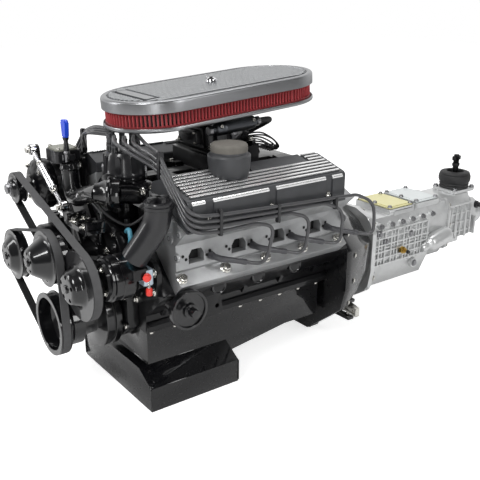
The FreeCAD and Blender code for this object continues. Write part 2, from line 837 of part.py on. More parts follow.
def crank_pulley():
    body = new_body("CrankPulley")
    radius = S["crank_pulley_radius"]
    half = S["belt_width"] / 2 + 1
    station = S["front_belt_station"]
    rim = radius + S["flange_height"]
    outline = [(0, -118), (52, -118), (52, -140), (radius - 8, -145), (radius - 8, station - half - 3), (rim, station - half - 3),
               (rim, station - half), (radius, station - half), (radius, station + half), (rim, station + half),
               (rim, station + half + 3), (58, -138), (58, -112.3), (0, -112.3)]
    turned(body, "Y", outline)
    turned(body, "Y", [(0, -132), (13, -132), (17, -118), (0, -118)])
    keep(body, "crank_pulley")


def belt(label, wheels, station):
    start = station.value - S["belt_width"].value / 2
    gap = S["belt_gap"].value
    circles = [(dim(x).value, dim(z).value, radius.value + gap) for x, z, radius in wheels]
    shape_node("Belt", label, band(circles, S["belt_thickness"].value, start, S["belt_width"].value))


def front_belt():
    wheels = [(0, 0, S["crank_pulley_radius"]), (0, S["pump_height"], S["pump_pulley_radius"]),
              (S["cooler_x"], S["cooler_z"], S["cooler_pulley_radius"])]
    belt("front_belt", wheels, S["front_belt_station"])


def rear_belt():
    wheels = [(0, S["pump_height"], S["pump_rear_groove_radius"]),
              (S["steering_x"], S["steering_z"], S["steering_pulley_radius"]),
              (S["generator_x"], S["generator_z"], S["generator_pulley_radius"])]
    belt("rear_belt", wheels, S["rear_belt_station"])


def can(label, x, z, outline, shaft_from, ears=()):
    """An accessory body turned about its shaft, with a bore for the shaft and mounting ears."""
    body = new_body("Can")
    turned(body, "Y", outline, x=x, z=z)
    for points, start, end in ears:
        prism(body, "XZ", points, start, end)
    bore = S["accessory_shaft_radius"] + S["bearing_clearance"]
    rods(body, "XZ", [(x, z, bore)], shaft_from, shaft_from + 50, cut=True)
    keep(body, label)


def cooler_compressor():
    r = S["cooler_radius"]
    outline = [(0, -114), (26, -114), (26, -104), (r - 4, -100), (r, -94), (r, -40), (r - 3, -38), (r - 3, -30),
               (r, -28), (r, -12), (0, -12)]
    x = S["cooler_x"]
    z = S["cooler_z"]
    ears = [(block_points(x + 20, x + 98, z - 62, z - 46), -90, -12)]
    can("cooling_compressor", x, z, outline, -114, ears)


def generator():
    r = S["generator_radius"]
    outline = [(0, -112), (24, -112), (40, -104), (r - 4, -96), (r, -88), (r, -66), (r - 5, -64), (r - 5, -48),
               (r, -46), (r, -24), (r - 10, -14), (0, -14)]
    x = S["generator_x"]
    z = S["generator_z"]
    ears = [([(x - 18, z + 46), (x + 18, z + 46), (x + 12, z + 96), (x - 12, z + 96)], -90.7, -84)]
    can("generator", x, z, outline, -112, ears)


def steering_pump():
    r = S["steering_radius"]
    outline = [(0, -112), (20, -112), (20, -100), (r - 8, -96), (r, -86), (r, -39), (r - 8, -31), (0, -31)]
    x = S["steering_x"]
    z = S["steering_z"]
    ears = [(block_points(x + 20, x + 86, z + 18, z + 41), -66, -31)]
    can("steering_pump", x, z, outline, -112, ears)


def accessory_bracket(side):
    """Flat bracket plate bolted to the front of the block and head, which carries the accessories."""
    body = new_body("Bracket")
    if side == LEFT:
        points = [(98, 40), (150, 70), (200, 92), (204, 150), (186, 168), (130, 176), (98, 150)]
    else:
        points = [(98, 40), (226, 44), (262, 110), (292, 250), (268, 330), (132, 330), (132, 240), (98, 190)]
    prism(body, "XZ", mirrored(side, points), -12, -0.3)
    if side == LEFT:
        feet = [(150, 110, 9), (150, 150, 9)]
        rods(body, "XZ", feet, -30.7, -12)
    keep(body, f"accessory_bracket_{side_name(side)}")


def oil_neck():
    """Filler tube of the steering pump with its cross-handled cap."""
    path = [Vector(176, -48, 183), Vector(208, -6, 262), Vector(208, -6, 298)]
    tube = pipe(path, 28, 60)
    shape_node("FillerNeck", "steering_filler_neck", tube)


def pipe(points, radius, bend):
    """A round rod along straight runs joined by tangent arcs."""
    edges = []
    last = points[0]
    for index in range(1, len(points) - 1):
        before = (points[index] - points[index - 1]).normalize()
        after = (points[index + 1] - points[index]).normalize()
        turn = before.getAngle(after)
        reach = bend * math.tan(turn / 2)
        start = points[index] - before * reach
        end = points[index] + after * reach
        centre = points[index] + (after - before).normalize() * (bend / math.cos(turn / 2))
        middle = centre + (points[index] - centre).normalize() * bend
        edges.append(Part.LineSegment(last, start).toShape())
        edges.append(Part.Arc(start, middle, end).toShape())
        last = end
    edges.append(Part.LineSegment(last, points[-1]).toShape())
    path = Part.Wire(edges)
    heading = points[1] - points[0]
    ring = Part.Wire([Part.Circle(points[0], heading, radius).toShape()])
    return path.makePipeShell([ring], True, True)


def filler_cap():
    """Round cap with a cross-shaped grip on top of the filler neck."""
    body = new_body("FillerCap")
    rods(body, "XY", [(208, -6, 30)], 298.3, 306)
    for half_x, half_y in ((7, 24), (24, 7)):
        grip = block_points(208 - half_x, 208 + half_x, -6 - half_y, -6 + half_y)
        prism(body, "XY", grip, 306, 316)
    keep(body, "steering_filler_cap")


def water_outlet():
    path = [Vector(72, 31.7, 280), Vector(72, -60, 280), Vector(-61, -60, 246), Vector(-91, -60, 325)]
    shape_node("WaterOutlet", "water_outlet", pipe(path, 20, 30))


# Inlet side

def inlet_face():
    """Foot and shoulder of the left head's inlet face, on which the manifold sits."""
    foot = bank_point(LEFT, -S["deck_half_width"], S["deck_height"] + S["gasket_thickness"])
    shoulder = (foot[0] + (104 - foot[0]) * 0.94, foot[1] + (297 - foot[1]) * 0.94)
    return foot, shoulder


def intake_manifold():
    body = new_body("Manifold")
    foot, shoulder = inlet_face()
    side_x = [foot[0] - 0.3, shoulder[0] - 0.3]
    outline = [(side_x[0], foot[1] + 0.5), (side_x[1], shoulder[1]), (70, 305), (-70, 305),
               (-side_x[1], shoulder[1]), (-side_x[0], foot[1] + 0.5)]
    prism(body, "XZ", outline, 32, 480)
    middle = S["throttle_box_station"]
    reach = S["throttle_box_length"] / 2 + 8
    pad = S["throttle_box_width"] / 2 + 2
    rise = reach * math.tan(math.radians(S["inlet_tilt"].value))
    top = S["throttle_box_bottom"] - 0.4
    riser = [(middle - reach, 300), (middle + reach, 300), (middle + reach, top + rise), (middle - reach, top - rise)]
    prism(body, "YZ", riser, -pad, pad)
    for start, end in ((60, 120), (140, 196), (368, 424)):
        for side in (LEFT, RIGHT):
            gap = mirrored(side, block_points(20, 90, start, end))
            prism(body, "XY", gap, 262, 306, cut=True)
    rods(body, "XY", [(0, S["distributor_station"], S["distributor_cap_radius"] + 4)], 190, 306, cut=True)
    keep(body, "intake_manifold")


def throttle_body():
    """Four-bore throttle body on its flange, with the stud that holds the air cleaner."""
    body = new_body("ThrottleBody")
    middle = S["throttle_box_station"]
    wide = S["throttle_box_width"] / 2
    reach = S["throttle_box_length"] / 2
    waist = wide - 27
    bottom = S["throttle_box_bottom"]
    top = S["throttle_box_top"]
    prism(body, "XY", block_points(-wide, wide, middle - reach, middle + reach), bottom, bottom + 12)
    prism(body, "XY", block_points(-waist, waist, middle - reach, middle + reach), bottom + 12, top - 14)
    corner = [(-46, middle - 30), (-30, middle - 46), (30, middle - 46), (46, middle - 30), (46, middle + 30),
              (30, middle + 46), (-30, middle + 46), (-46, middle + 30)]
    prism(body, "XY", corner, top - 14, top)
    bores = [(x, middle + y, S["throttle_bore"]) for x in (-22, 22) for y in (-22, 22)]
    rods(body, "XY", bores, bottom, top, cut=True)
    hole = S["throttle_shaft_radius"] + S["bearing_clearance"]
    rods(body, "YZ", [(middle + 22, bottom + 30, hole)], -wide, wide, cut=True)
    stud_top = S["cleaner_base_z"] + 10 + S["filter_height"] + S["lid_height"] + 12
    rods(body, "XY", [(0, middle, 4)], bottom + 16, stud_top)
    keep(body, "throttle_body", tilted=True)


def throttle_shaft():
    """Shaft with two throttle plates and the lever on its left end."""
    body = new_body("ThrottleShaft")
    middle = S["throttle_box_station"] + 22
    waist = S["throttle_box_width"] / 2 - 27
    height = S["throttle_box_bottom"] + 30
    rods(body, "YZ", [(middle, height, S["throttle_shaft_radius"])], -waist - 4, waist + 7)
    lever = [(middle - 8, height - 13), (middle + 14, height - 12), (middle + 22, height + 1),
             (middle + 8, height + 9), (middle - 8, height + 8)]
    prism(body, "YZ", lever, waist + 1, waist + 5)
    plate = S["throttle_bore"] - 0.6
    for x in (-22, 22):
        rods(body, "XY", [(x, middle, plate)], height - 1, height + 1)
    keep(body, "throttle_shaft", tilted=True)


def fuel_rail():
    """Fuel rail along the left side of the throttle body, on two feet."""
    body = new_body("FuelRail")
    waist = S["throttle_box_width"] / 2 - 27
    height = S["throttle_box_top"] - 18
    x = waist + 22
    turned(body, "Y", [(0, 222), (12, 222), (15, 226), (15, 342), (12, 346), (0, 346)], x=x, z=height)
    for station in (232, 322):
        foot = block_points(waist + 0.3, x, height - 13, height - 1)
        prism(body, "XZ", foot, station, station + 14)
    keep(body, "fuel_rail", tilted=True)


def oval(half_width, half_length, middle, z):
    """Stadium-shaped wire across X, long along Y, at a height."""
    straight = half_length - half_width
    front = middle - straight
    rear = middle + straight
    corners = [Vector(half_width, front, z), Vector(half_width, rear, z), Vector(-half_width, rear, z),
               Vector(-half_width, front, z)]
    edges = [
        Part.LineSegment(corners[0], corners[1]).toShape(),
        Part.Arc(corners[1], Vector(0, rear + half_width, z), corners[2]).toShape(),
        Part.LineSegment(corners[2], corners[3]).toShape(),
        Part.Arc(corners[3], Vector(0, front - half_width, z), corners[0]).toShape(),
    ]
    return Part.Wire(edges)


def oval_slab(inset, bottom, top, hollow=None):
    width = S["cleaner_half_width"].value - inset
    length = S["cleaner_half_length"].value - inset
    middle = S["cleaner_station"].value
    rise = Vector(0, 0, top - bottom)
    slab = Part.Face(oval(width, length, middle, bottom)).extrude(rise)
    if hollow:
        slab = slab.cut(Part.Face(oval(width - hollow, length - hollow, middle, bottom)).extrude(rise))
    return slab


def air_cleaner():
    base = S["cleaner_base_z"].value
    filter_bottom = base + 10
    filter_top = filter_bottom + S["filter_height"].value
    lid_top = filter_top + S["lid_height"].value
    station = S["cleaner_station"].value
    tray = oval_slab(0, base, base + 9.7).cut(oval_slab(3, base + 4, base + 9.7))
    neck_low = S["throttle_box_top"].value + 0.3
    neck = Part.makeCylinder(62, base - neck_low, Vector(0, station, neck_low))
    tray = tray.fuse(neck).cut(Part.makeCylinder(46, 40, Vector(0, station, neck_low - 5)))
    shape_node("CleanerBase", "air_cleaner_base", tray.removeSplitter(), tilted=True)
    shape_node("Filter", "air_filter", oval_slab(6, base + 4.3, filter_top + 3, hollow=34), tilted=True)
    lid = oval_slab(0, filter_top + 0.3, lid_top).cut(oval_slab(3, filter_top + 0.3, lid_top - 12))
    lid = lid.cut(Part.makeCylinder(4.3, 60, Vector(0, station, lid_top - 50)))
    shape_node("Lid", "air_cleaner_lid", lid, tilted=True)


def cleaner_nut():
    body = new_body("CleanerNut")
    top = S["cleaner_base_z"] + 10 + S["filter_height"] + S["lid_height"]
    turned(body, "Z", [(4.2, top + 0.3), (13, top + 0.3), (11, top + 9), (4.2, top + 9)], y=S["cleaner_station"])
    keep(body, "cleaner_nut", tilted=True)


# Ignition

def distributor():
    body = new_body("Distributor")
    radius = S["distributor_shaft_radius"]
    outline = [(0, 212), (18, 212), (19, 232), (19, 258), (30, 264), (44, 276), (44, 312), (0, 312)]
    turned(body, "Z", outline, y=S["distributor_station"])
    hole = radius + S["bearing_clearance"]
    rods(body, "XY", [(0, S["distributor_station"], hole)], 212, 312, cut=True)
    rods(body, "XY", [(0, S["distributor_station"], 36)], 296, 312, cut=True)
    keep(body, "distributor_housing")


def distributor_shaft():
    body = new_body("DistributorShaft")
    station = S["distributor_station"]
    rods(body, "XY", [(0, station, S["distributor_shaft_radius"])], S["cam_height"] + 30, 330)
    arm = block_points(-8, 8, station - 9, station + 26)
    prism(body, "XY", arm, 322, 334)
    keep(body, "distributor_rotor")


LEAD_PITCH = 12.0
LEAD_TOP = 402.0
LEAD_RUN_X = 266.0


def tower_places():
    """Where the eight plug towers and the centre tower stand on the distributor cap."""
    places = []
    for index in range(8):
        turn = 2 * math.pi * (index + 0.5) / 8
        places.append((30 * math.sin(turn), S["distributor_station"] + 30 * math.cos(turn)))
    return places


def distributor_cap():
    body = new_body("Cap")
    radius = S["distributor_cap_radius"]
    station = S["distributor_station"]
    turned(body, "Z", [(0, 312.3), (radius, 312.3), (radius, 336), (radius - 4, 362), (radius - 9, 368),
                       (0, 368)], y=station)
    rods(body, "XY", [(0, station, radius - 9)], 312.3, 344, cut=True)
    towers = [(x, y, 6.5) for x, y in tower_places()] + [(0, station, 7)]
    rods(body, "XY", towers, 360, 386)
    keep(body, "distributor_cap")


def boot_line(side, station):
    """Seat, bend and far end of the boot of the plug behind an exhaust port."""
    y = station + PLUG_REACH
    seat = Vector((S["exhaust_face"].value + 0.3) * side, y, PLUG_HEIGHT)
    bend = Vector(238 * side, y + 2, PLUG_HEIGHT)
    end = Vector(258 * side, y + 58, PLUG_HEIGHT - 14)
    return seat, bend, end


def spark_plugs():
    """Plugs with their boots, which come out beside the exhaust ports and point rearwards."""
    boots = []
    for side in (LEFT, RIGHT):
        for station in bore_stations(side):
            boots.append(pipe(list(boot_line(side, station.value)), S["plug_radius"].value, 14))
    shape_node("SparkPlugs", "spark_plugs", Part.makeCompound(boots))


def lead_points(side, index, station):
    """Corners of one plug lead from its tower on the cap, down past the separators, to its boot."""
    tower = tower_places()[3 - index if side == LEFT else 4 + index]
    tower_x = tower[0]
    tower_y = tower[1].value
    level = 236 + LEAD_PITCH * index
    front = head_front(side).value
    run_x = LEAD_RUN_X * side
    _, bend, end = boot_line(side, station)
    heading = (end - bend).normalize()
    return [
        Vector(tower_x, tower_y, 386),
        Vector(tower_x, tower_y, LEAD_TOP),
        Vector((76 + 14 * index) * side, (-32, -18, -4, 20)[index], LEAD_TOP),
        Vector(150 * side, front, 352 + LEAD_PITCH * index),
        Vector(run_x, front, level + 8),
        Vector(run_x, end.y + 74, level),
        end + heading * 46,
        end,
    ]


def plug_wires():
    """Eight silicone leads, held by separators over the left and right valve covers' lower edges."""
    leads = []
    for side in (LEFT, RIGHT):
        for index, station in enumerate(bore_stations(side)):
            leads.append(pipe(lead_points(side, index, station.value), S["lead_radius"].value, 14))
    shape_node("Leads", "plug_wires", Part.makeCompound(leads))


def coil_box():
    """Ignition coil in a black case on the right front, above the generator."""
    body = new_body("Coil")
    prism(body, "XY", block_points(-196, -130, -74, -12.3), 322, 350)
    prism(body, "XY", block_points(-190, -136, -68, -20), 350, 354)
    keep(body, "ignition_coil")


def generator_link():
    """Adjusting strut with two rod ends that sets the tension of the rear belt."""
    ends = (Vector(-214, -98, 345), Vector(-53, -98, 246))
    run = ends[1] - ends[0]
    heading = Vector(run).normalize()
    bar = Part.makeCylinder(6, run.Length - 20, ends[0] + heading * 10, run)
    grip = Part.makeCylinder(9, 50, ends[0] + run * 0.5 - heading * 25, run)
    shape = bar.fuse(grip)
    for end in ends:
        eye = Part.makeCylinder(13, 14, end - Vector(0, 7, 0), Vector(0, 1, 0))
        shape = shape.fuse(eye)
    shape_node("Link", "generator_link", shape.removeSplitter())


def dipstick_tube():
    path = [Vector(-34, -14, 200.3), Vector(-34, -14, 222), Vector(-121, -52, 300), Vector(-121, -52, 352)]
    shape_node("DipstickTube", "dipstick_tube", pipe(path, 5, 20))


def dipstick():
    """Blue handle that pulls out of the top of the dipstick tube."""
    body = new_body("Dipstick")
    rods(body, "XY", [(-121, -52, 6)], 352.3, 404)
    prism(body, "XY", block_points(-135, -107, -56, -48), 404, 420)
    keep(body, "dipstick")


# Gearbox side

def bell_outline(scale=1.0):
    """Outline of the clutch housing flange, about the crank axis."""
    half = [(60, 190), (120, 160), (171, 112), (1, 79), (1, -25), (190, -87), (67, -186)]
    side = [(S["bell_radius"].value if x == 1 else x, z) for x, z in half]
    points = side + [(-x, z) for x, z in reversed(side)]
    return [(x * scale, z * scale) for x, z in points]


def block_plate():
    body = new_body("BlockPlate")
    start = S["block_length"] + 0.3
    prism(body, "XZ", bell_outline(), start, start + 3)
    rods(body, "XZ", [(0, 0, S["main_radius"] + 12)], start, start + 3, cut=True)
    keep(body, "block_plate")


# The release fork's hinge pin: its place across, and along from the rear face of the block
FORK_PIN_X = 160
FORK_STATION = 62


def bell_housing():
    start = S["block_length"].value + 3.6
    length = S["bell_length"].value
    wall = S["bell_wall"].value

    def loop(scale, station, inset=0.0):
        points = []
        for x, z in bell_outline(scale):
            size = math.hypot(x, z)
            keep_share = (size - inset) / size
            points.append(Vector(x * keep_share, station, z * keep_share))
        points.append(points[0])
        return Part.makePolygon(points)

    outer = Part.makeLoft([loop(1.0, start), loop(1.0, start + 14), loop(0.62, start + length)], True, True)
    inner = Part.makeLoft([loop(1.0, start, wall + 8), loop(1.0, start + 14, wall + 8),
                           loop(0.62, start + length - wall, wall)], True, True)
    shell = outer.cut(inner)
    shell = shell.cut(Part.makeCylinder(24, 30, Vector(0, start + length - 20, 0), Vector(0, 1, 0)))
    window = Part.makeBox(120, 44, 46, Vector(72, start + 36, -132))
    shell = shell.cut(window)
    middle = S["block_length"].value + FORK_STATION
    bore = S["fork_pin_radius"].value + S["bearing_clearance"].value
    for inner, low in ((140, -88), (84, -138)):
        lug = Part.makeBox(FORK_PIN_X + 12 - inner, 20, 8, Vector(inner, middle - 10, low))
        shell = shell.fuse(lug)
    shell = shell.cut(Part.makeCylinder(bore, 80, Vector(FORK_PIN_X, middle, -150), Vector(0, 0, 1)))
    shape_node("Bell", "bell_housing", shell.removeSplitter())


def clutch_fork():
    """Release fork that comes out of the window in the side of the clutch housing."""
    body = new_body("ClutchFork")
    middle = S["block_length"] + FORK_STATION
    outline = [(112, -122), (166, -116), (194, -122), (194, -98), (166, -92), (112, -100)]
    prism(body, "XZ", outline, middle - 7, middle + 7)
    rods(body, "XZ", [(184, -109, 5)], middle - 7, middle + 7, cut=True)
    rods(body, "XY", [(FORK_PIN_X, middle, S["fork_pin_radius"])], -139, -79)
    keep(body, "clutch_fork")


def flywheel():
    body = new_body("Flywheel")
    start = S["block_length"] + 14
    rim = S["flywheel_radius"]
    outline = [(0, start), (rim, start), (rim, start + 24), (114, start + 24), (108, start + 50), (70, start + 60),
               (26, start + 60), (26, start + 48), (0, start + 48)]
    turned(body, "Y", outline)
    keep(body, "flywheel_and_clutch")


COVER_STATIONS = (836, 950)


def gear_case_front():
    return S["block_length"] + 3.9 + S["bell_length"]


def gear_case():
    body = new_body("GearCase")
    start = gear_case_front()
    end = start + S["gear_case_length"]
    wide = S["gear_case_half_width"]
    outline = [(-wide, -60), (-wide + 26, -125), (wide - 26, -125), (wide, -60), (wide, 60), (wide - 18, 84),
               (-wide + 18, 84), (-wide, 60)]
    prism(body, "XZ", outline, start, end - 90)
    rear = [(-wide + 6, -40), (-wide + 30, -84), (wide - 30, -84), (wide - 6, -40), (wide - 6, 50),
            (wide - 22, 84), (-wide + 22, 84), (-wide + 6, 50)]
    prism(body, "XZ", rear, end - 90, end)
    for first in COVER_STATIONS:
        prism(body, "XY", block_points(-68, 68, first, first + 104), 84, 101)
    prism(body, "XZ", block_points(-wide + 16, wide - 16, -40, 96), start + 150, end - 150)
    for index in range(5):
        y = start + 30 + index * 52
        prism(body, "XZ", block_points(-wide - 5, wide + 5, -56, 58), y, y + 6)
    for z in (-40, -4, 32):
        prism(body, "XZ", block_points(-wide - 4, wide + 4, z, z + 5), start + 12, end - 110)
    rods(body, "XZ", [(0, 0, S["output_radius"] + S["bearing_clearance"])], end - 60, end, cut=True)
    keep(body, "gearbox_case")


def gearbox_covers():
    body = new_body("TopCovers")
    for first in COVER_STATIONS:
        prism(body, "XY", block_points(-66, 66, first + 2, first + 102), 101.3, 105)
        circles = [(x, first + y, 5) for x in (-57, 57) for y in (11, 93)]
        rods(body, "XY", circles, 105, 110)
    keep(body, "gearbox_covers")


def tail_housing():
    body = new_body("Tail")
    start = gear_case_front() + S["gear_case_length"] + 0.3
    end = start + S["tail_length"]
    wide = S["tail_half_width"]
    outline = [(-wide, -30), (-wide + 14, -58), (wide - 14, -58), (wide, -30), (wide, 62), (wide - 10, 88),
               (-wide + 10, 88), (-wide, 62)]
    prism(body, "XZ", outline, start, start + 130)
    taper = [(-44, -34), (44, -34), (44, 40), (30, 56), (-30, 56), (-44, 40)]
    prism(body, "XZ", taper, start + 130, end - 40)
    rods(body, "XZ", [(0, 0, 36)], end - 40, end)
    for index in range(4):
        y = start + 20 + index * 46
        prism(body, "XZ", block_points(-wide - 6, wide + 6, -52, 8), y, y + 6)
    rods(body, "XZ", [(0, 0, S["output_radius"] + S["bearing_clearance"])], start, end, cut=True)
    station = S["lever_station"]
    rods(body, "XY", [(0, station, 30)], 40, 90, cut=True)
    keep(body, "tail_housing")


def output_shaft():
    body = new_body("OutputShaft")
    start = gear_case_front() + S["gear_case_length"] - 58
    end = gear_case_front() + S["gear_case_length"] + S["tail_length"] + 12
    shoulder = end - S["output_end_length"]
    rods(body, "XZ", [(0, 0, S["output_radius"])], start, shoulder - 1)
    rods(body, "XZ", [(0, 0, S["output_end_radius"] - 1)], shoulder - 1, shoulder)
    rods(body, "XZ", [(0, 0, S["output_end_radius"])], shoulder, end)
    keep(body, "output_shaft")


LEVER_PIN_Z = 104


def shifter_tower():
    body = new_body("ShifterTower")
    station = S["lever_station"]
    prism(body, "XY", block_points(-46, 46, station - 50, station + 50), 88.3, 104)
    turned(body, "Z", [(0, 104), (44, 104), (44, 118), (48, 124), (48, 138), (42, 148), (0, 148)], y=station)
    rods(body, "XY", [(0, station, 26)], 88.3, 148, cut=True)
    pin_bore = S["lever_pin_radius"] + S["bearing_clearance"]
    rods(body, "YZ", [(station, LEVER_PIN_Z, pin_bore)], -46, 46, cut=True)
    keep(body, "shifter_tower")


def shift_lever():
    body = new_body("ShiftLever")
    station = S["lever_station"]
    turned(body, "Z", [(0, 92), (13, 92), (20, 100), (21, 108), (14, 116), (9, 120), (8, 190), (10, 192),
                       (10, 202), (0, 204)], y=station)
    rods(body, "YZ", [(station, LEVER_PIN_Z, S["lever_pin_radius"])], -43, 43)
    keep(body, "shift_lever")


def build_all():
    engine_block()
    crankshaft()
    camshaft()
    crank_sprocket()
    cam_sprocket()
    timing_chain()
    for side in (LEFT, RIGHT):
        cylinder_head(side)
        valve_cover(side)
        accessory_bracket(side)
    head_gaskets()
    head_bolts()
    spark_plugs()
    plug_wires()
    breather()
    oil_pan()
    filter_adapter()
    timing_cover()
    water_pump()
    crank_damper()
    crank_pulley()
    front = S["front_belt_station"]
    rear = S["rear_belt_station"]
    grooves = [(front, S["pump_pulley_radius"]), (rear, S["pump_rear_groove_radius"])]
    groove_pulley("water_pump_pulley", 0, S["pump_height"], grooves, (-209, 26, S["pump_pulley_radius"] - 8), -61)
    grooves = [(front, S["cooler_pulley_radius"])]
    groove_pulley("compressor_pulley", S["cooler_x"], S["cooler_z"], grooves, (-190, 30, S["cooler_pulley_radius"] - 8), -70)
    grooves = [(rear, S["generator_pulley_radius"])]
    groove_pulley("generator_pulley", S["generator_x"], S["generator_z"], grooves, (-160, 20, 24), -70, holes=0)
    grooves = [(rear, S["steering_pulley_radius"])]
    groove_pulley("steering_pulley", S["steering_x"], S["steering_z"], grooves, (-176, 34, 42), -70)
    front_belt()
    rear_belt()
    cooler_compressor()
    generator()
    steering_pump()
    oil_neck()
    filler_cap()
    water_outlet()
    intake_manifold()
    throttle_body()
    throttle_shaft()
    fuel_rail()
    air_cleaner()
    cleaner_nut()
    distributor()
    distributor_shaft()
    distributor_cap()
    coil_box()
    generator_link()
    dipstick_tube()
    dipstick()
    block_plate()
    bell_housing()
    clutch_fork()
    flywheel()
    gear_case()
    gearbox_covers()
    tail_housing()
    output_shaft()
    shifter_tower()
    shift_lever()


def check_and_write():
    doc.recompute()
    for item in doc.Objects:
        if "Invalid" in item.State or "Error" in item.State:
            raise RuntimeError(f"{item.Label} did not build: {item.State}")
    os.makedirs("parts", exist_ok=True)
    for node in NODES:
        if node.Shape.isNull() or not node.Shape.isValid():
            raise RuntimeError(f"{node.Label} has no valid shape")
        node.Shape.exportStep(f"parts/{node.Label}.step")


build_all()
check_and_write()
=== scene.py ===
"""V8 engine with gearbox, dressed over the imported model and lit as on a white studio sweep.

Lengths in the script are millimetres in the engine's own working frame: X to the left bank, Y back from
the front face of the block, Z up from the crank axis. One function turns them into the row's metres.
"""

import json
import math

import bmesh
import bpy
from mathutils import Matrix, Vector


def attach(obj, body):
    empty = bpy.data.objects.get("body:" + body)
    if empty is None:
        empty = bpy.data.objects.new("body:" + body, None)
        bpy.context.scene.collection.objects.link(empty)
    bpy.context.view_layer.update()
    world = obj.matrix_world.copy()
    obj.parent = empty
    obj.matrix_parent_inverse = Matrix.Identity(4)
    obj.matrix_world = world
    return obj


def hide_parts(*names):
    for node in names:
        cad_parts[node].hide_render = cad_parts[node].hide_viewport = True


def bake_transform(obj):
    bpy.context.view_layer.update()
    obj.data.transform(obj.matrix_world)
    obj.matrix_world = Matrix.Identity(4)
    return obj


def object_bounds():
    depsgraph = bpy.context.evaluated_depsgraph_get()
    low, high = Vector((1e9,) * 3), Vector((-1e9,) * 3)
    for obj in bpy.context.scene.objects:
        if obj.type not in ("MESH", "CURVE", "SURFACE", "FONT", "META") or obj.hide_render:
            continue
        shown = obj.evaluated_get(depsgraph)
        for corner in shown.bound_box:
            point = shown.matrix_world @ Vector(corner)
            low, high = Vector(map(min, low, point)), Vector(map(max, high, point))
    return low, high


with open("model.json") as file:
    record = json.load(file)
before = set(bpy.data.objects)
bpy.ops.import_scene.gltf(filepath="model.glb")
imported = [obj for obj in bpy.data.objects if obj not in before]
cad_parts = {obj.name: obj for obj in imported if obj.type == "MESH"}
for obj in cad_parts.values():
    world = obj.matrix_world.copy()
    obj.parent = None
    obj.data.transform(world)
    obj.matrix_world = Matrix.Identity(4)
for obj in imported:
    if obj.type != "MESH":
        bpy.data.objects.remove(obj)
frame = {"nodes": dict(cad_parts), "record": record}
scene = bpy.context.scene
cad_box = [list(corner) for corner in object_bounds()]

MOUNT_STATION = 150.0
INLET_TILT = math.radians(4.1)
TILT_PIVOT = Vector((0, 275, 350))
LEFT, RIGHT = 1, -1
ROOT_HALF = math.sqrt(0.5)
BORE_PITCH = 111.25
ENGINE = "engine"
SHARP_EDGE = math.radians(32)
SOFT_EDGE = math.radians(35)
FLAT_EDGE = math.radians(1.5)
SAME_POINT = 2e-5


def row_place(point, tilted=False):
    """Row metres of a point given in working millimetres."""
    point = Vector(point)
    if tilted:
        point = TILT_PIVOT + Matrix.Rotation(INLET_TILT, 3, "X") @ (point - TILT_PIVOT)
    return Vector((point.x, point.y - MOUNT_STATION, point.z)) / 1000


def bore_stations(side):
    first = 95.6 if side == LEFT else 73.6
    return [first + BORE_PITCH * index for index in range(4)]


# Node trees

def linear(text):
    """Linear RGBA of an sRGB hex colour."""
    values = [int(text[index:index + 2], 16) / 255 for index in (0, 2, 4)]
    return [v / 12.92 if v <= 0.04045 else ((v + 0.055) / 1.055) ** 2.4 for v in values] + [1.0]


def add_node(tree, kind, settings=None, links=None):
    """Add a node, set its properties and inputs, and link what comes from other nodes."""
    made = tree.nodes.new(kind)
    for key, value in (settings or {}).items():
        if isinstance(key, str) and key.startswith("."):
            setattr(made, key[1:], value)
        else:
            made.inputs[key].default_value = value
    for key, source in (links or {}).items():
        tree.links.new(source, made.inputs[key])
    return made


def blank_material(name):
    material = bpy.data.materials.new(name)
    material.use_nodes = True
    material.node_tree.nodes.clear()
    return material, material.node_tree


def surface(name, shader, dark, light, mix_scale, bump_scale, bump_depth, roughness, stretch=(1, 1, 1)):
    """A finish with mottled colour, mottled roughness and a fine relief.

    mix_scale and bump_scale are the sizes in millimetres of the mottling and of the relief; bump_depth is
    the relief's height in millimetres."""
    material, tree = blank_material(name)
    place = add_node(tree, "ShaderNodeTexCoord")
    mapping = add_node(tree, "ShaderNodeMapping", {"Scale": stretch}, {"Vector": place.outputs["Object"]})
    mottle = add_node(tree, "ShaderNodeTexNoise", {"Scale": 1000 / mix_scale, "Detail": 3.0},
                      {"Vector": mapping.outputs[0]})
    grain = add_node(tree, "ShaderNodeTexNoise", {"Scale": 1000 / bump_scale, "Detail": 4.0,
                                                  "Roughness": 0.6}, {"Vector": mapping.outputs[0]})
    colour = add_node(tree, "ShaderNodeMix", {".data_type": "RGBA", 6: linear(dark), 7: linear(light)},
                      {0: mottle.outputs[0]})
    shine = add_node(tree, "ShaderNodeMapRange", {"To Min": roughness[0], "To Max": roughness[1]},
                     {"Value": grain.outputs[0]})
    bump = add_node(tree, "ShaderNodeBump", {"Strength": 1.0, "Distance": bump_depth / 1000},
                    {"Height": grain.outputs[0]})
    principled = add_node(tree, "ShaderNodeBsdfPrincipled", shader,
                          {"Base Color": colour.outputs[2], "Roughness": shine.outputs[0],
                           "Normal": bump.outputs[0]})
    add_node(tree, "ShaderNodeOutputMaterial", links={"Surface": principled.outputs[0]})
    return material


METAL = {"Metallic": 1.0}
PAINT = {"Metallic": 0.0, "Specular IOR Level": 0.12, "Coat Weight": 1.0, "Coat Roughness": 0.03}

# Gloss enamel over a cast block: near black, wet-looking, with the slow waves of a sprayed coat
BLACK_ENAMEL = surface("black_enamel_sprayed", PAINT, "08080A", "0E0E10", 30, 9, 0.05, (0.22, 0.36))
# Powder coat on turned and pressed parts: black, smooth, a softer highlight than enamel
BLACK_POWDER = surface("black_powder_coat", {"Specular IOR Level": 0.15, "Coat Weight": 1.0,
                                             "Coat Roughness": 0.07}, "09090B", "101012", 40, 1.6,
                       0.02, (0.26, 0.4))
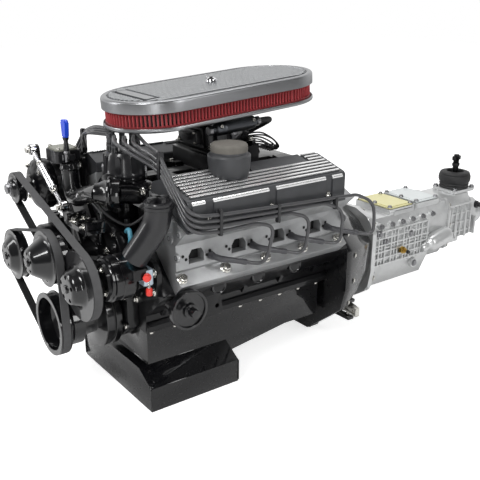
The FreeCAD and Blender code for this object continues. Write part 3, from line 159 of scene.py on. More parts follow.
# Sand-cast black paint: the mould's grain shows through thin paint
BLACK_CASTING = surface("black_painted_casting", {"Specular IOR Level": 0.12, "Coat Weight": 0.6,
                                                  "Coat Roughness": 0.1}, "060608", "0E0E10", 24, 2.6,
                        0.09, (0.34, 0.5))
# Sand-cast aluminium of the heads: grey, matt, faintly pitted
HEAD_ALUMINIUM = surface("sand_cast_aluminium", {"Metallic": 0.7}, "88898A", "B2B3B4", 35, 1.8,
                         0.14, (0.3, 0.5))
# Painted shade deep in the ports: a near-black sheet that stands for the shade inside the openings
PORT_PAINTED_SHADE = surface("port_painted_shade", {"Metallic": 0.2}, "0C0C0C", "1A1A1A", 18, 1.0, 0.1, (0.6, 0.8))
# Die-cast aluminium of the gearbox: bright and smooth with cloudy flow marks
DIE_CAST = surface("die_cast_aluminium", {"Metallic": 0.65}, "B9BABA", "DCDDDD", 45, 3.0, 0.09, (0.22, 0.4))
# Machined faces and polished fin tips
POLISHED = surface("polished_aluminium", {"Metallic": 0.8}, "E4E4E4", "F4F4F4", 20, 2.5, 0.002, (0.2, 0.3))
# Satin aluminium lid: fine brushing along its length
SATIN = surface("satin_brushed_aluminium", METAL, "87888A", "9C9D9F", 26, 1.2, 0.012,
                (0.28, 0.42), (1, 0.06, 1))
# Tops of the lid's fins, sanded bright, and the dull cast floor between them
FIN_TOP = surface("sanded_fin_tops", {"Metallic": 0.9}, "A9ABAD", "BCBEC0", 40, 6.0, 0.002, (0.28, 0.36))
LID_FLOOR = surface("dull_cast_floor", {"Metallic": 0.6}, "3E4043", "505255", 20, 1.4, 0.02, (0.45, 0.6))
# Wrinkle paint on the valve covers: charcoal, finely crazed, half matt
CHARCOAL = surface("charcoal_wrinkle_paint", {"Coat Weight": 0.15, "Coat Roughness": 0.4}, "2A2B2D", "3A3B3E",
                   30, 1.1, 0.08, (0.38, 0.55))
# Bright zinc on bolts
ZINC = surface("bright_zinc_plate", METAL, "C2C0BA", "E2E0DA", 8, 1.4, 0.01, (0.18, 0.32))
# Bare machined steel
STEEL = surface("machined_steel", METAL, "7E7E80", "9C9C9E", 14, 0.9, 0.01, (0.24, 0.4))
# Chrome plate: mirror with a trace of waviness
CHROME = surface("chrome_plate", METAL, "CDCDCF", "E2E2E4", 30, 6, 0.006, (0.05, 0.12))
# Belt back: woven nylon, worn to a matt grey
BELT_GREY = surface("grey_belt_back", {"Metallic": 0.0}, "3A3A3B", "4A4A4B", 12, 0.8, 0.03, (0.6, 0.8))
# Belt ribs and hoses: black synthetic rubber
RUBBER = surface("black_rubber", {"Metallic": 0.0}, "161617", "222223", 14, 0.9, 0.03, (0.5, 0.7))
# Silicone ignition wire: dark grey with a waxy sheen
WIRE_GREY = surface("grey_silicone_wire", {"Metallic": 0.0, "Coat Weight": 0.3, "Coat Roughness": 0.25},
                    "333335", "454547", 18, 1.5, 0.01, (0.25, 0.38))
# Moulded phenolic and nylon: black, half gloss, faint mould haze
BLACK_PLASTIC = surface("moulded_black_nylon", {"Specular IOR Level": 0.3, "Coat Weight": 0.5,
                                                "Coat Roughness": 0.12}, "121214", "1C1C1F", 22, 0.9,
                        0.012, (0.32, 0.46))
GREY_FOAM = surface("grey_foam_top", {"Metallic": 0.0}, "57544F", "67645E", 10, 0.8, 0.05, (0.75, 0.9))
BLUE_PLASTIC = surface("blue_moulded_plastic", {"Metallic": 0.0, "Coat Weight": 0.3}, "1A3FBE", "2450D8", 16,
                       1.0, 0.008, (0.25, 0.38))
RED_PLASTIC = surface("red_cap_plastic", {"Metallic": 0.0}, "C22B22", "D93A2E", 12, 1.0, 0.008, (0.3, 0.45))
RED_COTTON = surface("red_oiled_cotton", {"Metallic": 0.0, "Sheen Weight": 0.3}, "7C161C", "A0282E", 6, 0.7,
                     0.1, (0.6, 0.8))
YELLOW_COVER = surface("pale_yellow_passivate", {"Metallic": 0.6}, "D8D29A", "E6E1B0", 30, 1.5,
                       0.01, (0.3, 0.45))
PALE_COVER = surface("clear_passivated_cover", {"Metallic": 0.6}, "CDD2D2", "E2E6E6", 30, 1.5,
                     0.01, (0.3, 0.45))
BRASS = surface("turned_brass", METAL, "A8873E", "C4A45A", 10, 0.8, 0.01, (0.2, 0.35))
BLUE_HOSE = surface("blue_hose_cover", {"Metallic": 0.0}, "3F7F95", "5597AC", 14, 1.0, 0.01, (0.35, 0.5))
PALE_BLUE = surface("pale_blue_anodised", {"Metallic": 0.7}, "A9B8C4", "BCCAD4", 12, 0.8, 0.008, (0.3, 0.42))
# Painted shade: near-black discs and slots that stand for the shade inside bolt holes and vents
HOLE_PAINTED_SHADE = surface("painted_bore_shade", {"Metallic": 0.0}, "060606", "0A0A0A", 10, 1, 0.01, (0.6, 0.8))
# The dense rubber rims, and the cotton core between the pleats, dark red as painted shade
RED_RUBBER = surface("red_moulded_rim", {"Metallic": 0.0}, "5E1418", "741B20", 10, 1.0, 0.02, (0.45, 0.6))
RED_SHADOW = surface("red_cotton_painted_shade", {"Metallic": 0.0}, "22070A", "34090D", 8, 0.8, 0.05, (0.7, 0.85))
GREY_LAMINATE = surface("grey_coil_lid", {"Metallic": 0.0}, "77776F", "8A8A80", 16, 1.0, 0.01, (0.4, 0.55))
BOOT_GREY = surface("grey_silicone_boot", {"Metallic": 0.0, "Coat Weight": 0.2}, "333336", "434347", 14, 1.0,
                    0.02, (0.4, 0.55))
GUN_GREY = surface("gun_grey_anodised", METAL, "4C4E52", "606266", 20, 0.9, 0.008, (0.26, 0.4))
DARK_STEEL = surface("black_oxide_steel", METAL, "2A2A2B", "3C3C3D", 12, 0.9, 0.01, (0.3, 0.45))
GASKET = surface("graphite_gasket", {"Metallic": 0.0}, "1E1E1F", "2B2B2C", 6, 0.8, 0.02, (0.6, 0.8))


# Shapes

def rounded(points, radius, closed=True, steps=4):
    """Replace each corner of a flat outline by an arc of up to the given radius."""
    points = [Vector(point) for point in points]
    count = len(points)
    result = []
    for index, corner in enumerate(points):
        if not closed and index in (0, count - 1):
            result.append(corner)
            continue
        before = points[index - 1] - corner
        after = points[(index + 1) % count] - corner
        angle = before.angle(after, math.pi)
        if angle > math.pi - 0.05 or min(before.length, after.length) < 1e-6:
            result.append(corner)
            continue
        reach = min(radius / math.tan(angle / 2), before.length * 0.48, after.length * 0.48)
        start = corner + before.normalized() * reach
        end = corner + after.normalized() * reach
        for step in range(steps + 1):
            share = step / steps
            result.append(start.lerp(corner, share).lerp(corner.lerp(end, share), share))
    return result


def prism(outline, plane, start, end, bevel=1.0, steps=2):
    """Extrude a flat outline along the axis square to its plane, with softened edges on both ends."""
    shape = bmesh.new()

    def place(point, depth):
        u, v = point
        return {"XZ": (u, depth, v), "YZ": (depth, u, v), "XY": (u, v, depth)}[plane]

    low = [shape.verts.new(place(point, start)) for point in outline]
    high = [shape.verts.new(place(point, end)) for point in outline]
    count = len(outline)
    for index in range(count):
        following = (index + 1) % count
        shape.faces.new((low[index], low[following], high[following], high[index]))
    caps = [shape.faces.new(low), shape.faces.new(list(reversed(high)))]
    if bevel:
        edges = [edge for cap in caps for edge in cap.edges]
        bmesh.ops.bevel(shape, geom=edges, offset=bevel, segments=steps, affect="EDGES", clamp_overlap=True)
    bmesh.ops.recalc_face_normals(shape, faces=shape.faces)
    return shape


def slab(x0, x1, y0, y1, z0, z1, corner=2.0, bevel=1.0):
    outline = rounded([(x0, y0), (x1, y0), (x1, y1), (x0, y1)], corner)
    return prism(outline, "XY", z0, z1, bevel)


def lathe(profile, along="Z", centre=(0, 0, 0), steps=64, closed=False):
    """Turn a profile of (radius, distance) about an axis through a point; ends on the axis are closed."""
    shape = bmesh.new()
    axis = "XYZ".index(along)
    others = [index for index in range(3) if index != axis]
    rings = []
    for radius, distance in profile:
        ring = []
        for step in range(1 if radius < 1e-6 else steps):
            turn = 2 * math.pi * step / steps
            point = [0.0, 0.0, 0.0]
            point[axis] = distance
            point[others[0]] = radius * math.sin(turn)
            point[others[1]] = radius * math.cos(turn)
            ring.append(shape.verts.new(Vector(centre) + Vector(point)))
        rings.append(ring)
    pairs = list(zip(rings, rings[1:] + ([rings[0]] if closed else [])))
    for first, second in pairs[:len(rings) if closed else len(rings) - 1]:
        for step in range(steps):
            following = (step + 1) % steps
            corners = [first[step % len(first)], first[following % len(first)],
                       second[following % len(second)], second[step % len(second)]]
            unique = list(dict.fromkeys(corners))
            if len(unique) > 2:
                shape.faces.new(unique)
    for ring in (() if closed else (rings[0], rings[-1])):
        if len(ring) > 2:
            shape.faces.new(ring)
    bmesh.ops.recalc_face_normals(shape, faces=shape.faces)
    return shape


def merged(*shapes):
    """Put several shapes into the first."""
    first = shapes[0]
    for other in shapes[1:]:
        mesh = bpy.data.meshes.new("part")
        other.to_mesh(mesh)
        first.from_mesh(mesh)
        bpy.data.meshes.remove(mesh)
        other.free()
    return first


def swung(shape, matrix):
    bmesh.ops.transform(shape, matrix=matrix, verts=shape.verts)
    return shape


def onto(shape, point, direction):
    """Stand a shape made about +Z at the origin on a point, facing a direction."""
    turn = Vector(direction).to_track_quat("Z", "Y").to_matrix().to_4x4()
    return swung(shape, Matrix.Translation(Vector(point)) @ turn)


def dressed(made, finish, body, replaced=()):
    """Give an object its finish, the body that it rides and the CAD nodes that it stands for."""
    made.data.materials.clear()
    made.data.materials.append(finish)
    if body:
        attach(made, body)
    if replaced:
        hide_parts(*replaced)
    return made


def piece(name, shape, finish, body=ENGINE, replaced=(), tilted=False):
    """Turn a shape, or a list of them, in working millimetres into a finished object in the row's frame."""
    if isinstance(shape, list):
        shape = merged(*shape)
    for vert in shape.verts:
        vert.co = row_place(vert.co, tilted)
    mesh = bpy.data.meshes.new(name)
    shape.to_mesh(mesh)
    shape.free()
    mesh.shade_smooth()
    mesh.set_sharp_from_angle(angle=SHARP_EDGE)
    made = bpy.data.objects.new(name, mesh)
    scene.collection.objects.link(made)
    return dressed(made, finish, body, replaced)


def cut_away(made, cutters, tilted=False):
    """Take cutter shapes, given in working millimetres, out of a finished piece."""
    tool_mesh = bpy.data.meshes.new("cutter")
    whole = merged(*cutters)
    for vert in whole.verts:
        vert.co = row_place(vert.co, tilted)
    whole.to_mesh(tool_mesh)
    whole.free()
    tool = bpy.data.objects.new("cutter", tool_mesh)
    scene.collection.objects.link(tool)
    modifier = made.modifiers.new("cut", "BOOLEAN")
    modifier.operation = "DIFFERENCE"
    modifier.object = tool
    flatten(made)
    bpy.data.objects.remove(tool)
    return made


def flatten(made):
    """Replace an object's mesh by what its modifiers make of it."""
    graph = bpy.context.evaluated_depsgraph_get()
    mesh = bpy.data.meshes.new_from_object(made.evaluated_get(graph))
    made.modifiers.clear()
    made.data = mesh
    return made


def softened(node, finish, width):
    """A copy of a CAD node with its edges rounded, which stands for the node."""
    source = frame["nodes"][node]
    shape = bmesh.new()
    shape.from_mesh(source.data)
    bmesh.ops.remove_doubles(shape, verts=shape.verts, dist=SAME_POINT)
    bmesh.ops.dissolve_limit(shape, angle_limit=FLAT_EDGE, verts=shape.verts, edges=shape.edges)
    mesh = bpy.data.meshes.new(node + "_soft")
    shape.to_mesh(mesh)
    shape.free()
    mesh.shade_smooth()
    made = bpy.data.objects.new(node + "_soft", mesh)
    scene.collection.objects.link(made)
    bevel = made.modifiers.new("edges", "BEVEL")
    bevel.width = width / 1000
    bevel.segments = 2
    bevel.limit_method = "ANGLE"
    bevel.angle_limit = SOFT_EDGE
    bevel.use_clamp_overlap = True
    flatten(made)
    made.data.set_sharp_from_angle(angle=SOFT_EDGE)
    return dressed(made, finish, body_of_node(node), (node,))


def body_of_node(node):
    for body, nodes in frame["record"]["behaviour"]["bodies"].items():
        if node in nodes:
            return body
    return ENGINE


def painted(node, finish):
    """Give a CAD node that keeps its own shape its finish."""
    mesh_slots = frame["nodes"][node].material_slots
    for mesh_slot in mesh_slots:
        mesh_slot.material = finish


# Camera, at the photograph's angle

EYE = Vector((1.4226, -0.8519, 0.7200))
LENS = 54.64
AZIMUTH, ELEVATION, ROLL = (math.radians(value) for value in (53.5, 19.6, 0.4))


def make_camera():
    forward = Vector((-math.sin(AZIMUTH) * math.cos(ELEVATION), math.cos(AZIMUTH) * math.cos(ELEVATION),
                      -math.sin(ELEVATION)))
    across = Vector((math.cos(AZIMUTH), math.sin(AZIMUTH), 0))
    upward = across.cross(forward)
    right = across * math.cos(ROLL) + upward * math.sin(ROLL)
    upward = upward * math.cos(ROLL) - across * math.sin(ROLL)
    data = bpy.data.cameras.new("camera")
    data.lens = LENS
    data.sensor_width = 36
    data.clip_end = 60
    camera = bpy.data.objects.new("camera", data)
    camera.matrix_world = Matrix((
        (right.x, upward.x, -forward.x, EYE.x),
        (right.y, upward.y, -forward.y, EYE.y),
        (right.z, upward.z, -forward.z, EYE.z),
        (0, 0, 0, 1)))
    scene.collection.objects.link(camera)
    scene.camera = camera


def make_studio():
    """White sweep behind the object, large soft lamps, and a dimmer room on the camera's side."""
    scene.view_settings.view_transform = "Standard"
    world = bpy.data.worlds.new("surround")
    world.use_nodes = True
    tree = world.node_tree
    tree.nodes.clear()
    rays = add_node(tree, "ShaderNodeLightPath")
    ahead = scene.camera.matrix_world.to_3x3() @ Vector((0, 0, -1))
    direction = add_node(tree, "ShaderNodeTexCoord")
    facing = add_node(tree, "ShaderNodeVectorMath", {".operation": "DOT_PRODUCT", 1: ahead},
                      {0: direction.outputs["Generated"]})
    sweep = add_node(tree, "ShaderNodeMapRange", {"From Min": -0.15, "From Max": 0.4, "To Min": 0.1,
                                                  "To Max": 1.0}, {"Value": facing.outputs["Value"]})
    mirrored_rays = add_node(tree, "ShaderNodeMath", {".operation": "MAXIMUM"},
                             {0: rays.outputs["Is Glossy Ray"], 1: rays.outputs["Is Transmission Ray"]})
    room = add_node(tree, "ShaderNodeMix", {".data_type": "FLOAT", 2: 0.42},
                    {0: mirrored_rays.outputs[0], 3: sweep.outputs[0]})
    level = add_node(tree, "ShaderNodeMix", {".data_type": "FLOAT", 3: 1.0},
                     {0: rays.outputs["Is Camera Ray"], 2: room.outputs[0]})
    surround = add_node(tree, "ShaderNodeBackground", {"Color": (1, 1, 1, 1)}, {"Strength": level.outputs[0]})
    add_node(tree, "ShaderNodeOutputWorld", links={"Surface": surround.outputs[0]})
    scene.world = world
    # Name, place and target in metres, the two sides in metres, watts
    lamps = (
        ("key", (1.2, -2.4, 2.6), (0.1, 0.1, 0.1), (0.8, 1.4), 70),
        ("side", (2.9, 0.9, 1.5), (0.0, 0.4, 0.0), (0.5, 2.2), 30),
        ("top", (-0.4, 0.5, 3.0), (0.0, 0.3, 0.1), (2.4, 1.0), 42),
        ("front", (-1.6, -2.4, 1.2), (0.0, 0.0, 0.1), (0.5, 1.8), 24),
        ("low", (2.3, -1.5, 0.5), (0.1, 0.1, 0.0), (0.35, 1.2), 9),
    )
    for name, place, target, size, power in lamps:
        data = bpy.data.lights.new(name, "AREA")
        data.shape = "RECTANGLE"
        data.size, data.size_y = size
        data.energy = power
        lamp = bpy.data.objects.new(name, data)
        facing = Vector(target) - Vector(place)
        lamp.matrix_world = Matrix.Translation(place) @ facing.to_track_quat("-Z", "Y").to_matrix().to_4x4()
        scene.collection.objects.link(lamp)
    floor_mesh = bpy.data.meshes.new("floor")
    reach, height = 9.0, cad_box[0][2] - 0.001
    floor_mesh.from_pydata([(-reach, -reach, height), (reach, -reach, height), (reach, reach, height),
                            (-reach, reach, height)], [], [(0, 1, 2, 3)])
    floor = bpy.data.objects.new("floor", floor_mesh)
    scene.collection.objects.link(floor)
    material, tree = blank_material("white_sweep")
    rays = add_node(tree, "ShaderNodeLightPath")
    card = add_node(tree, "ShaderNodeBsdfDiffuse", {"Color": (0.8, 0.8, 0.8, 1)})
    glow = add_node(tree, "ShaderNodeEmission", {"Color": (1, 1, 1, 1), "Strength": 0.7})
    lit = add_node(tree, "ShaderNodeAddShader", links={0: card.outputs[0], 1: glow.outputs[0]})
    seen = add_node(tree, "ShaderNodeMixShader", links={0: rays.outputs["Is Camera Ray"], 1: card.outputs[0],
                                                        2: lit.outputs[0]})
    add_node(tree, "ShaderNodeOutputMaterial", links={"Surface": seen.outputs[0]})
    floor_mesh.materials.append(material)


# Repeated shapes, placed by one node tree

def new_tree(name, inputs):
    """A geometry tree with named inputs; returns the tree, its input node and the identifiers by name."""
    tree = bpy.data.node_groups.new(name, "GeometryNodeTree")
    identifiers = {}
    tree.interface.new_socket("Geometry", in_out="OUTPUT", socket_type="NodeSocketGeometry")
    for label, kind in inputs:
        identifiers[label] = tree.interface.new_socket(label, in_out="INPUT", socket_type=kind).identifier
    entry = tree.nodes.new("NodeGroupInput")
    return tree, entry, identifiers


def make_repeat_tree():
    """Stand a template on every point, its +Z along "facing" and its +X along "across"."""
    tree, entry, identifiers = new_tree("repeat_on_points", (
        ("Points", "NodeSocketGeometry"), ("Template", "NodeSocketObject"),
        ("Finish", "NodeSocketMaterial")))
    facing = add_node(tree, "GeometryNodeInputNamedAttribute",
                      {".data_type": "FLOAT_VECTOR", "Name": "facing"})
    across = add_node(tree, "GeometryNodeInputNamedAttribute",
                      {".data_type": "FLOAT_VECTOR", "Name": "across"})
    upright = add_node(tree, "FunctionNodeAlignRotationToVector", {".axis": "Z"},
                       {"Vector": facing.outputs[0]})
    turned = add_node(tree, "FunctionNodeAlignRotationToVector", {".axis": "X", ".pivot_axis": "Z"},
                      {"Rotation": upright.outputs[0], "Vector": across.outputs[0]})
    template = add_node(tree, "GeometryNodeObjectInfo", links={"Object": entry.outputs["Template"]})
    copies = add_node(tree, "GeometryNodeInstanceOnPoints", links={
        "Points": entry.outputs["Points"], "Instance": template.outputs["Geometry"],
        "Rotation": turned.outputs[0]})
    whole = add_node(tree, "GeometryNodeRealizeInstances", links={"Geometry": copies.outputs[0]})
    finished = add_node(tree, "GeometryNodeSetMaterial", links={
        "Geometry": whole.outputs[0], "Material": entry.outputs["Finish"]})
    add_node(tree, "NodeGroupOutput", links={"Geometry": finished.outputs[0]})
    return tree, identifiers


REPEAT_TREE, REPEAT_INPUTS = make_repeat_tree()


def repeated(name, template, places, finish, body=ENGINE, tilted=False, replaced=(), slot=None):
    """Copies of a shape, made about +Z at the origin, at places of (point, facing, across) in millimetres."""
    template_mesh = bpy.data.meshes.new(name + "_template")
    swung(template, Matrix.Scale(0.001, 4))
    template.to_mesh(template_mesh)
    template.free()
    template_mesh.shade_smooth()
    template_mesh.set_sharp_from_angle(angle=SHARP_EDGE)
    pattern = bpy.data.objects.new(name + "_template", template_mesh)
    points = bpy.data.meshes.new(name)
    points.from_pydata([row_place(place[0], tilted) for place in places], [], [])
    turn = Matrix.Rotation(INLET_TILT, 3, "X") if tilted else Matrix.Identity(3)
    for label, index in (("facing", 1), ("across", 2)):
        stored = points.attributes.new(label, "FLOAT_VECTOR", "POINT")
        for item, place in zip(stored.data, places):
            item.vector = turn @ Vector(place[index])
    made = bpy.data.objects.new(name, points)
    for item in (pattern, made):
        scene.collection.objects.link(item)
    modifier = made.modifiers.new("repeat", "NODES")
    modifier.node_group = REPEAT_TREE
    modifier[REPEAT_INPUTS["Template"]] = pattern
    modifier[REPEAT_INPUTS["Finish"]] = finish
    flatten(made)
    bpy.data.objects.remove(pattern)
    return dressed(made, finish, body, replaced)


def hex_bolt(across_flats, height, flange=0.0):
    """Hexagon head with a softened top, on a round flange if one is given."""
    radius = across_flats / math.sqrt(3)
    outline = [(radius * math.cos(math.pi * index / 3), radius * math.sin(math.pi * index / 3))
               for index in range(6)]
    head = prism(rounded(outline, across_flats * 0.05, steps=1), "XY", 0, height,
                 bevel=height * 0.14, steps=1)
    if not flange:
        return head
    collar = lathe([(0, 0), (flange, 0), (flange, height * 0.16), (flange * 0.8, height * 0.34),
                    (0, height * 0.34)], steps=20)
    return merged(head, collar)


def bolt_heads(name, size, places, finish=ZINC, body=ENGINE, **rest):
    """Hexagon heads; size is (width across flats, height) or (width across flats, height, flange radius)."""
    return repeated(name, hex_bolt(*size), places, finish, body, **rest)


def socket_screw(radius, height):
    """Cap screw with a hollow in its head."""
    return lathe([(0, height * 0.45), (radius * 0.5, height * 0.45), (radius * 0.55, height),
                  (radius * 0.88, height), (radius, height * 0.86), (radius, 0), (0, 0)], steps=16)


def ring_places(x, y, z, radius, count, facing, start=0.0):
    """Places on a circle square to Y."""
    places = []
    for index in range(count):
        turn = start + 2 * math.pi * index / count
        outward = (math.sin(turn), 0, math.cos(turn))
        places.append(((x + radius * outward[0], y, z + radius * outward[2]), facing, outward))
    return places


FRONTWARD, REARWARD, UPWARD, LEFTWARD, RIGHTWARD = (0, -1, 0), (0, 1, 0), (0, 0, 1), (1, 0, 0), (-1, 0, 0)


# Front drive

SHAFT_RADIUS = 8.5
BELT_WIDTH = 18.0
FLANGE_HEIGHT = 4.0


def bowl_pulley(node, body, x, z, grooves, nose, shaft_back, holes=5):
    """Spun pulley: flat belt grooves between rolled lips, and a domed bowl in front."""
    nose_y, nose_radius, root = nose
    half = BELT_WIDTH / 2 + 0.5
    lip = 1.0
    front = grooves[0][0] - half - lip
    back = grooves[-1][0] + half + lip
    last_radius = grooves[-1][1]
    hub = SHAFT_RADIUS + 6
    bowl = rounded([(0, nose_y), (nose_radius, nose_y), (root, front),
                    (grooves[0][1] + FLANGE_HEIGHT, front)], 13, closed=False, steps=7)
    outline = [tuple(point) for point in bowl[:-1]]
    for station, groove in grooves:
        rim = groove + FLANGE_HEIGHT
        outline += [(rim - 0.5, station - half - lip), (rim, station - half - lip * 0.5),
                    (rim - 0.4, station - half)]
        outline += [(groove + 0.6, station - half + 0.1), (groove, station - half + 0.7)]
        outline += [(groove, station + half - 0.7), (groove + 0.6, station + half - 0.1)]
        outline += [(rim - 0.4, station + half), (rim, station + half + lip * 0.5),
                    (rim - 0.5, station + half + lip)]
    outline += [(last_radius - 7, back), (last_radius - 7, front + 9), (root - 5, front + 9),
                (nose_radius - 4, nose_y + 6), (hub, nose_y + 6), (hub, back), (SHAFT_RADIUS, back),
                (SHAFT_RADIUS, shaft_back), (0, shaft_back)]
    made = piece(node + "_turned", lathe(outline, "Y", (x, 0, z), 96), BLACK_POWDER, body, (node,))
    if holes:
        cutters = []
        for place, _, _ in ring_places(x, 0, z, nose_radius * 0.75, holes, FRONTWARD):
            cutters.append(lathe([(0, nose_y - 1), (nose_radius * 0.14, nose_y - 1),
                                  (nose_radius * 0.14, nose_y + 8), (0, nose_y + 8)], "Y",
                                 (place[0], 0, place[2]), 20))
        cut_away(made, cutters)
        made.data.set_sharp_from_angle(angle=SHARP_EDGE)
    return made


def belt_path(wheels):
    """Points and outward directions of a belt laid round wheels given as (x, z, radius), in turning order."""
    path = []
    count = len(wheels)
    headings = []
    for index in range(count):
        x0, z0, r0 = wheels[index]
        x1, z1, r1 = wheels[(index + 1) % count]
        length = math.hypot(x1 - x0, z1 - z0)
        headings.append(math.atan2(z1 - z0, x1 - x0) - math.pi / 2 - math.asin((r1 - r0) / length))
    for index in range(count):
        x1, z1, r1 = wheels[(index + 1) % count]
        begin = headings[index]
        end = headings[(index + 1) % count]
        while end < begin:
            end += 2 * math.pi
        steps = max(4, int((end - begin) / math.radians(5)))
        for step in range(steps + 1):
            turn = begin + (end - begin) * step / steps
            outward = Vector((math.cos(turn), 0, math.sin(turn)))
            path.append((Vector((x1, 0, z1)) + outward * r1, outward))
    return path


def ribbed_belt(node, wheels, station):
    """Flat-backed belt, grey on its back, with six moulded ribs inside."""
    gap, thickness, half = 0.4, 4.0, BELT_WIDTH / 2
    path = belt_path([(x, z, radius + gap) for x, z, radius in wheels])
    back = [(thickness - 0.5, -half), (thickness, -half + 0.5), (thickness, half - 0.5),
            (thickness - 0.5, half)]
    ribs = []
    rib_count = 6
    for index in range(rib_count):
        low = half - BELT_WIDTH * index / rib_count
        ribs += [(1.7, low), (0.15, low - 0.9), (0.15, low - 2.1)]
    ribs.append((1.7, -half))
    for name, section, finish in (("back", back + [(2.2, half), (2.2, -half)], BELT_GREY),
                                  ("ribs", ribs + [(2.2, -half), (2.2, half)], RUBBER)):
        shape = bmesh.new()
        rows = []
        for point, outward in path:
            rows.append([shape.verts.new(point + outward * lift + Vector((0, station + y, 0)))
                         for lift, y in section])
        for first, second in zip(rows, rows[1:] + rows[:1]):
            for index in range(len(section)):
                following = (index + 1) % len(section)
                shape.faces.new((first[index], first[following], second[following], second[index]))
        bmesh.ops.recalc_face_normals(shape, faces=shape.faces)
        piece(f"{node}_{name}", shape, finish, replaced=(node,))


def crank_end():
    """Damper with its rubber ring, the deep dished pulley and their bolts."""
    hub = 17.5
    damper = [(hub, -112), (44, -112), (44, -76), (50, -73.5), (78, -70.5), (80, -68.5), (80, -53),
              (79, -52), (77, -51.5), (77, -48.5), (79, -48), (80, -47), (80, -34), (78.5, -32), (42, -32),
              (42, -29), (hub, -29)]
    piece("crank_damper_turned", lathe(damper, "Y", (0, 0, 0), 96, closed=True), BLACK_POWDER, "crank",
          ("crank_damper",))
    piece("crank_damper_rubber", lathe([(76.6, -51.4), (77.6, -51.2), (77.6, -48.8), (76.6, -48.6)], "Y",
                                       (0, 0, 0), 96, closed=True), RUBBER, "crank")
    half, station, radius = 10.0, -162.0, 68.0
    rim = radius + FLANGE_HEIGHT
    dish = [(0, -118), (50, -118), (52, -120), (52, -138), (54, -141), (60, -145), (60, station - half - 2),
            (61, station - half - 3), (rim - 0.6, station - half - 3), (rim, station - half - 2.2),
            (rim, station - half), (radius, station - half + 0.3), (radius, station + half - 0.3),
            (rim, station + half), (rim, station + half + 2.4), (rim - 0.6, station + half + 3), (64, -146),
            (58, -138), (58, -112.3), (0, -112.3)]
    piece("crank_pulley_dish", lathe(dish, "Y", (0, 0, 0), 96), BLACK_POWDER, "crank", ("crank_pulley",))
    piece("crank_pulley_hub", lathe([(0, -131), (13, -131), (14, -130), (17, -119), (17, -117.5),
                                     (0, -117.5)], "Y", (0, 0, 0), 48), BLACK_POWDER, "crank")
    bolt_heads("crank_pulley_bolts", (13, 8, 9.5), ring_places(0, -118, 0, 33, 4, FRONTWARD, 0.4),
               STEEL, "crank")
    bolt_heads("crank_centre_bolt", (22, 12, 15), [((0, -131, 0), FRONTWARD, UPWARD)], STEEL, "crank")


def front_drive():
    pump, cooler, gen, steer = (0, 154, 58), (-198, 104, 56), (-214, 260, 32), (118, 126, 71)
    bowl_pulley("water_pump_pulley", "pump_rotor", 0, 154, [(-162, 58), (-140, 40)], (-209, 26, 50), -61)
    bowl_pulley("compressor_pulley", "compressor_rotor", -198, 104, [(-162, 56)], (-190, 30, 48), -70)
    bowl_pulley("generator_pulley", "generator_rotor", -214, 260, [(-140, 32)], (-160, 20, 24), -70, holes=0)
    bowl_pulley("steering_pulley", "steering_rotor", 118, 126, [(-140, 71)], (-176, 34, 42), -70)
    ribbed_belt("front_belt", [(0, 0, 68), pump, cooler], -162)
    ribbed_belt("rear_belt", [(0, 154, 40), steer, gen], -140)
    crank_end()
    for label, body, x, y, z in (("pump", "pump_rotor", 0, -209, 154),
                                 ("compressor", "compressor_rotor", -198, -190, 104),
                                 ("steering", "steering_rotor", 118, -176, 126)):
        cap = lathe([(0, y - 4), (7, y - 4), (9, y - 2.5), (9.5, y + 0.5), (0, y + 0.5)], "Y", (x, 0, z), 32)
        piece(f"{label}_pulley_cap", cap, BLACK_POWDER, body)
    bolt_heads("generator_pulley_nut", (22, 9, 15), [((-214, -160, 260), FRONTWARD, UPWARD)], STEEL,
               "generator_rotor")


# Air cleaner, in the tilted frame of the throttle body

CLEANER_WIDTH, CLEANER_LENGTH, CLEANER_STATION = 122.0, 272.0, 275.0


def oval_ring(inset, steps=28):
    """Points and outward directions round the cleaner's oval, this far in from its edge."""
    half_width = CLEANER_WIDTH - inset
    straight = CLEANER_LENGTH - CLEANER_WIDTH
    ring = []
    for middle, first in ((CLEANER_STATION + straight, 0.0), (CLEANER_STATION - straight, math.pi)):
        for step in range(steps + 1):
            turn = first + math.pi * step / steps
            outward = (math.cos(turn), math.sin(turn))
            ring.append(((half_width * outward[0], middle + half_width * outward[1]), outward))
    return ring


def oval_solid(profile, closed=False):
    """Sweep a profile of (inset, height) round the oval; open profiles are filled at both ends."""
    shape = bmesh.new()
    rings = [[shape.verts.new((point[0], point[1], height)) for point, _ in oval_ring(inset)]
             for inset, height in profile]
    pairs = list(zip(rings, rings[1:] + rings[:1]))
    for low, high in pairs if closed else pairs[:-1]:
        for index in range(len(low)):
            following = (index + 1) % len(low)
            shape.faces.new((low[index], low[following], high[following], high[index]))
    if not closed:
        for ring in (rings[0], rings[-1]):
            shape.faces.new(ring)
    bmesh.ops.recalc_face_normals(shape, faces=shape.faces)
    return shape


